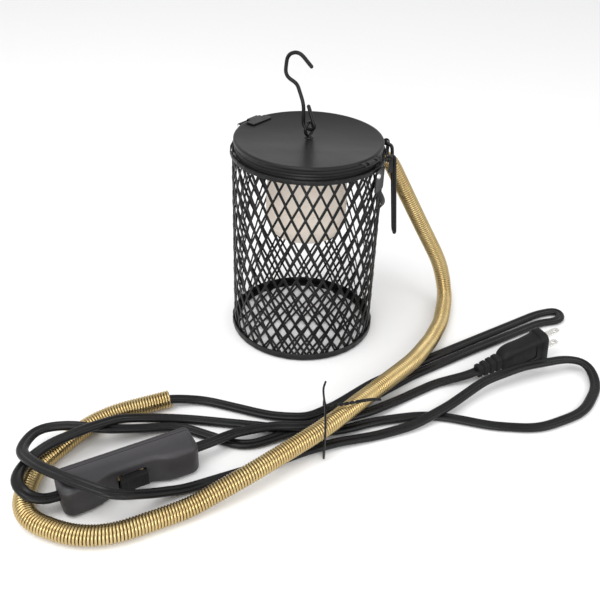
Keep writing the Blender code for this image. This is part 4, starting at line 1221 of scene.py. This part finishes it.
def plug():
    """The moulded plug: ribbed relief, waisted grip with a sunk panel on each side, and a flange."""
    place = plug_frame()
    stations = []
    relief_end = -44.0
    ribs = 4
    for k in range(ribs * 8 + 1):
        x = -PLUG_L + (relief_end + PLUG_L) * k / (ribs * 8)
        share = (x + PLUG_L) / (relief_end + PLUG_L)
        phase = (k % 8) / 8
        groove = 0.9 if 0.55 < phase < 0.95 and k > 4 else 0.0
        cap = 0.7 if k == 0 else 0.0
        stations.append((x, 4.2 + 1.5 * share - groove - cap, 5.4 + 2.0 * share - groove - cap))
    stations += [(-42.5, 6.4, 8.6), (-40, 7.0, 10.2), (-37, 7.5, 11.0), (-32, 7.7, 11.4),
                 (-24, 7.6, 11.0), (-16, 7.6, 11.2), (-10, 7.8, 11.6), (-7.2, 8.2, 12.0),
                 (-6.4, 9.0, 13.2), (-5.8, 9.2, 13.5), (-1.0, 9.2, 13.5), (-0.3, 9.0, 13.3),
                 (0, 8.4, 12.7)]
    rings = []
    for x, half_y, half_z in stations:
        wing = PLUG_WING if x > PLUG_FLANGE else 0.0
        outline = rounded(half_y, half_z + wing / 2, min(half_y, half_z) * 0.62, 6, (0.0, -wing / 2))
        rings.append([place @ Vector((x, y, z)) for y, z in outline])
    body = piece("plug_shown", loft(rings), plug_plastic, "guard", ["plug_body"], crease=38)
    for side in (-1, 1):
        panel = rounded(12.5, 6.8, 2.5, 6, (-23.5, 0))
        cut(body, prism(panel, 1.6, place @ Matrix.Translation(Vector((0, side * 7.9, 0)))))


def blades():
    """The two flat blades, each with tapered corners and a hole near its tip."""
    place = plug_frame()
    half, tip = BLADE_W / 2, BLADE_L - 2.2
    outline = [(-3.0, -half), (tip, -half), (BLADE_L, -1.7), (BLADE_L, 1.7), (tip, half), (-3.0, half)]
    hole = [(BLADE_L - 4.2 + x, y) for x, y in circle(1.6, 24)]
    for which, side in (("upper", 1), ("lower", -1)):
        middle = side * BLADE_PITCH / 2
        shape = slab(outline, middle - BLADE_T / 2, middle + BLADE_T / 2, place)
        blade = piece("blade_" + which, shape, nickel_blade, "guard", ["plug_blade_" + which])
        cut(blade, slab(hole, middle - 2, middle + 2, place))
        soften(blade, 0.25)


# ---------- CAD nodes that stay ----------

KEPT = {
    powder_coat: ("hinge_rivet_a", "hinge_rivet_b"),
    bright_zinc: ("eye_nut", "eye_washer", "holder_strap", "holder_screw_a", "holder_screw_b",
                  "terminal_screw_a", "terminal_screw_b", "switch_screw_a", "switch_screw_b"),
    plain_brass: ("centre_contact", "holder_terminal_a", "holder_terminal_b", "switch_contact",
                  "switch_terminal_a", "switch_terminal_b"),
}


def dress_kept_nodes():
    """Give each CAD node that stays its material and a fine bevel."""
    for maker, names in KEPT.items():
        for name in names:
            node = frame["nodes"][name]
            node.data.materials.clear()
            node.data.materials.append(material(maker))
            soften(node, 0.15, 2, 35)


# ---------- stage ----------

def pale_floor():
    mesh = bpy.data.meshes.new("studio_floor")
    bm = bmesh.new()
    bmesh.ops.create_grid(bm, x_segments=2, y_segments=2, size=6.0)
    bm.to_mesh(mesh)
    bm.free()
    floor = bpy.data.objects.new("studio_floor", mesh)
    floor.location.z = -FLOOR_DROP
    paint = bpy.data.materials.new("pale_floor")
    paint.use_nodes = True
    shader = paint.node_tree.nodes["Principled BSDF"]
    shader.inputs["Base Color"].default_value = (0.93, 0.93, 0.93, 1)
    shader.inputs["Roughness"].default_value = 0.9
    mesh.materials.append(paint)
    bpy.context.scene.collection.objects.link(floor)


def soft_light(name, place, target, size, power):
    light = bpy.data.lights.new(name, "AREA")
    light.shape = "RECTANGLE"
    light.size, light.size_y = size
    light.energy = power
    lamp = bpy.data.objects.new(name, light)
    lamp.location = place
    lamp.rotation_mode = "QUATERNION"
    lamp.rotation_quaternion = (Vector(target) - Vector(place)).to_track_quat("-Z", "Y")
    bpy.context.scene.collection.objects.link(lamp)


def studio():
    """A pale studio: an even white surround with a large soft light above."""
    world = bpy.data.worlds.new("studio")
    world.use_nodes = True
    background = world.node_tree.nodes["Background"]
    background.inputs["Color"].default_value = (1.0, 1.0, 1.0, 1.0)
    background.inputs["Strength"].default_value = 0.85
    bpy.context.scene.world = world
    soft_light("key", (-0.5, -0.5, 1.3), (0, -0.08, 0.05), (0.9, 0.9), 9.0)
    soft_light("fill", (1.1, -0.6, 0.8), (0, -0.05, 0.08), (0.8, 0.8), 4.0)
    soft_light("low_front", (-0.1, -1.2, 0.35), (0, 0, 0.13), (0.7, 0.4), 5.0)
    pale_floor()


def camera():
    """Looks down on the lamp from the front, a little over half a metre away, turned very slightly."""
    data = bpy.data.cameras.new("camera")
    data.sensor_width = 36.0
    data.lens = 46.96
    cam = bpy.data.objects.new("camera", data)
    cam.location = (0.0, -0.5894, 0.4104)
    pitch, yaw, roll = 0.5841, -0.0037, 0.0378
    look = Vector((math.sin(yaw) * math.cos(pitch), math.cos(yaw) * math.cos(pitch), -math.sin(pitch)))
    cam.rotation_mode = "QUATERNION"
    level = look.to_track_quat("-Z", "Y").to_matrix()
    cam.rotation_quaternion = (level @ Matrix.Rotation(roll, 3, "Z")).to_quaternion()
    bpy.context.scene.collection.objects.link(cam)
    bpy.context.scene.camera = cam


def build():
    for make in (guard_wall, guard_floor, bottom_ring, top_band, collar, lid, hinge):
        make()
    ear("ear_front", EAR_FRONT_Y, "latch_ear_front")
    ear("ear_rear", EAR_REAR_Y, "latch_ear_rear")
    for make in (latch_plate, latch_tongue, bail, keeper, eye, hook, holder, threaded_shell, lead, coil,
                 sleeve_rings, lamp_cord, plug_cord, tie, switch_shells, switch_rocker, plug, blades,
                 dress_kept_nodes, studio, camera):
        make()
    bpy.context.scene.view_settings.view_transform = "Standard"


build()
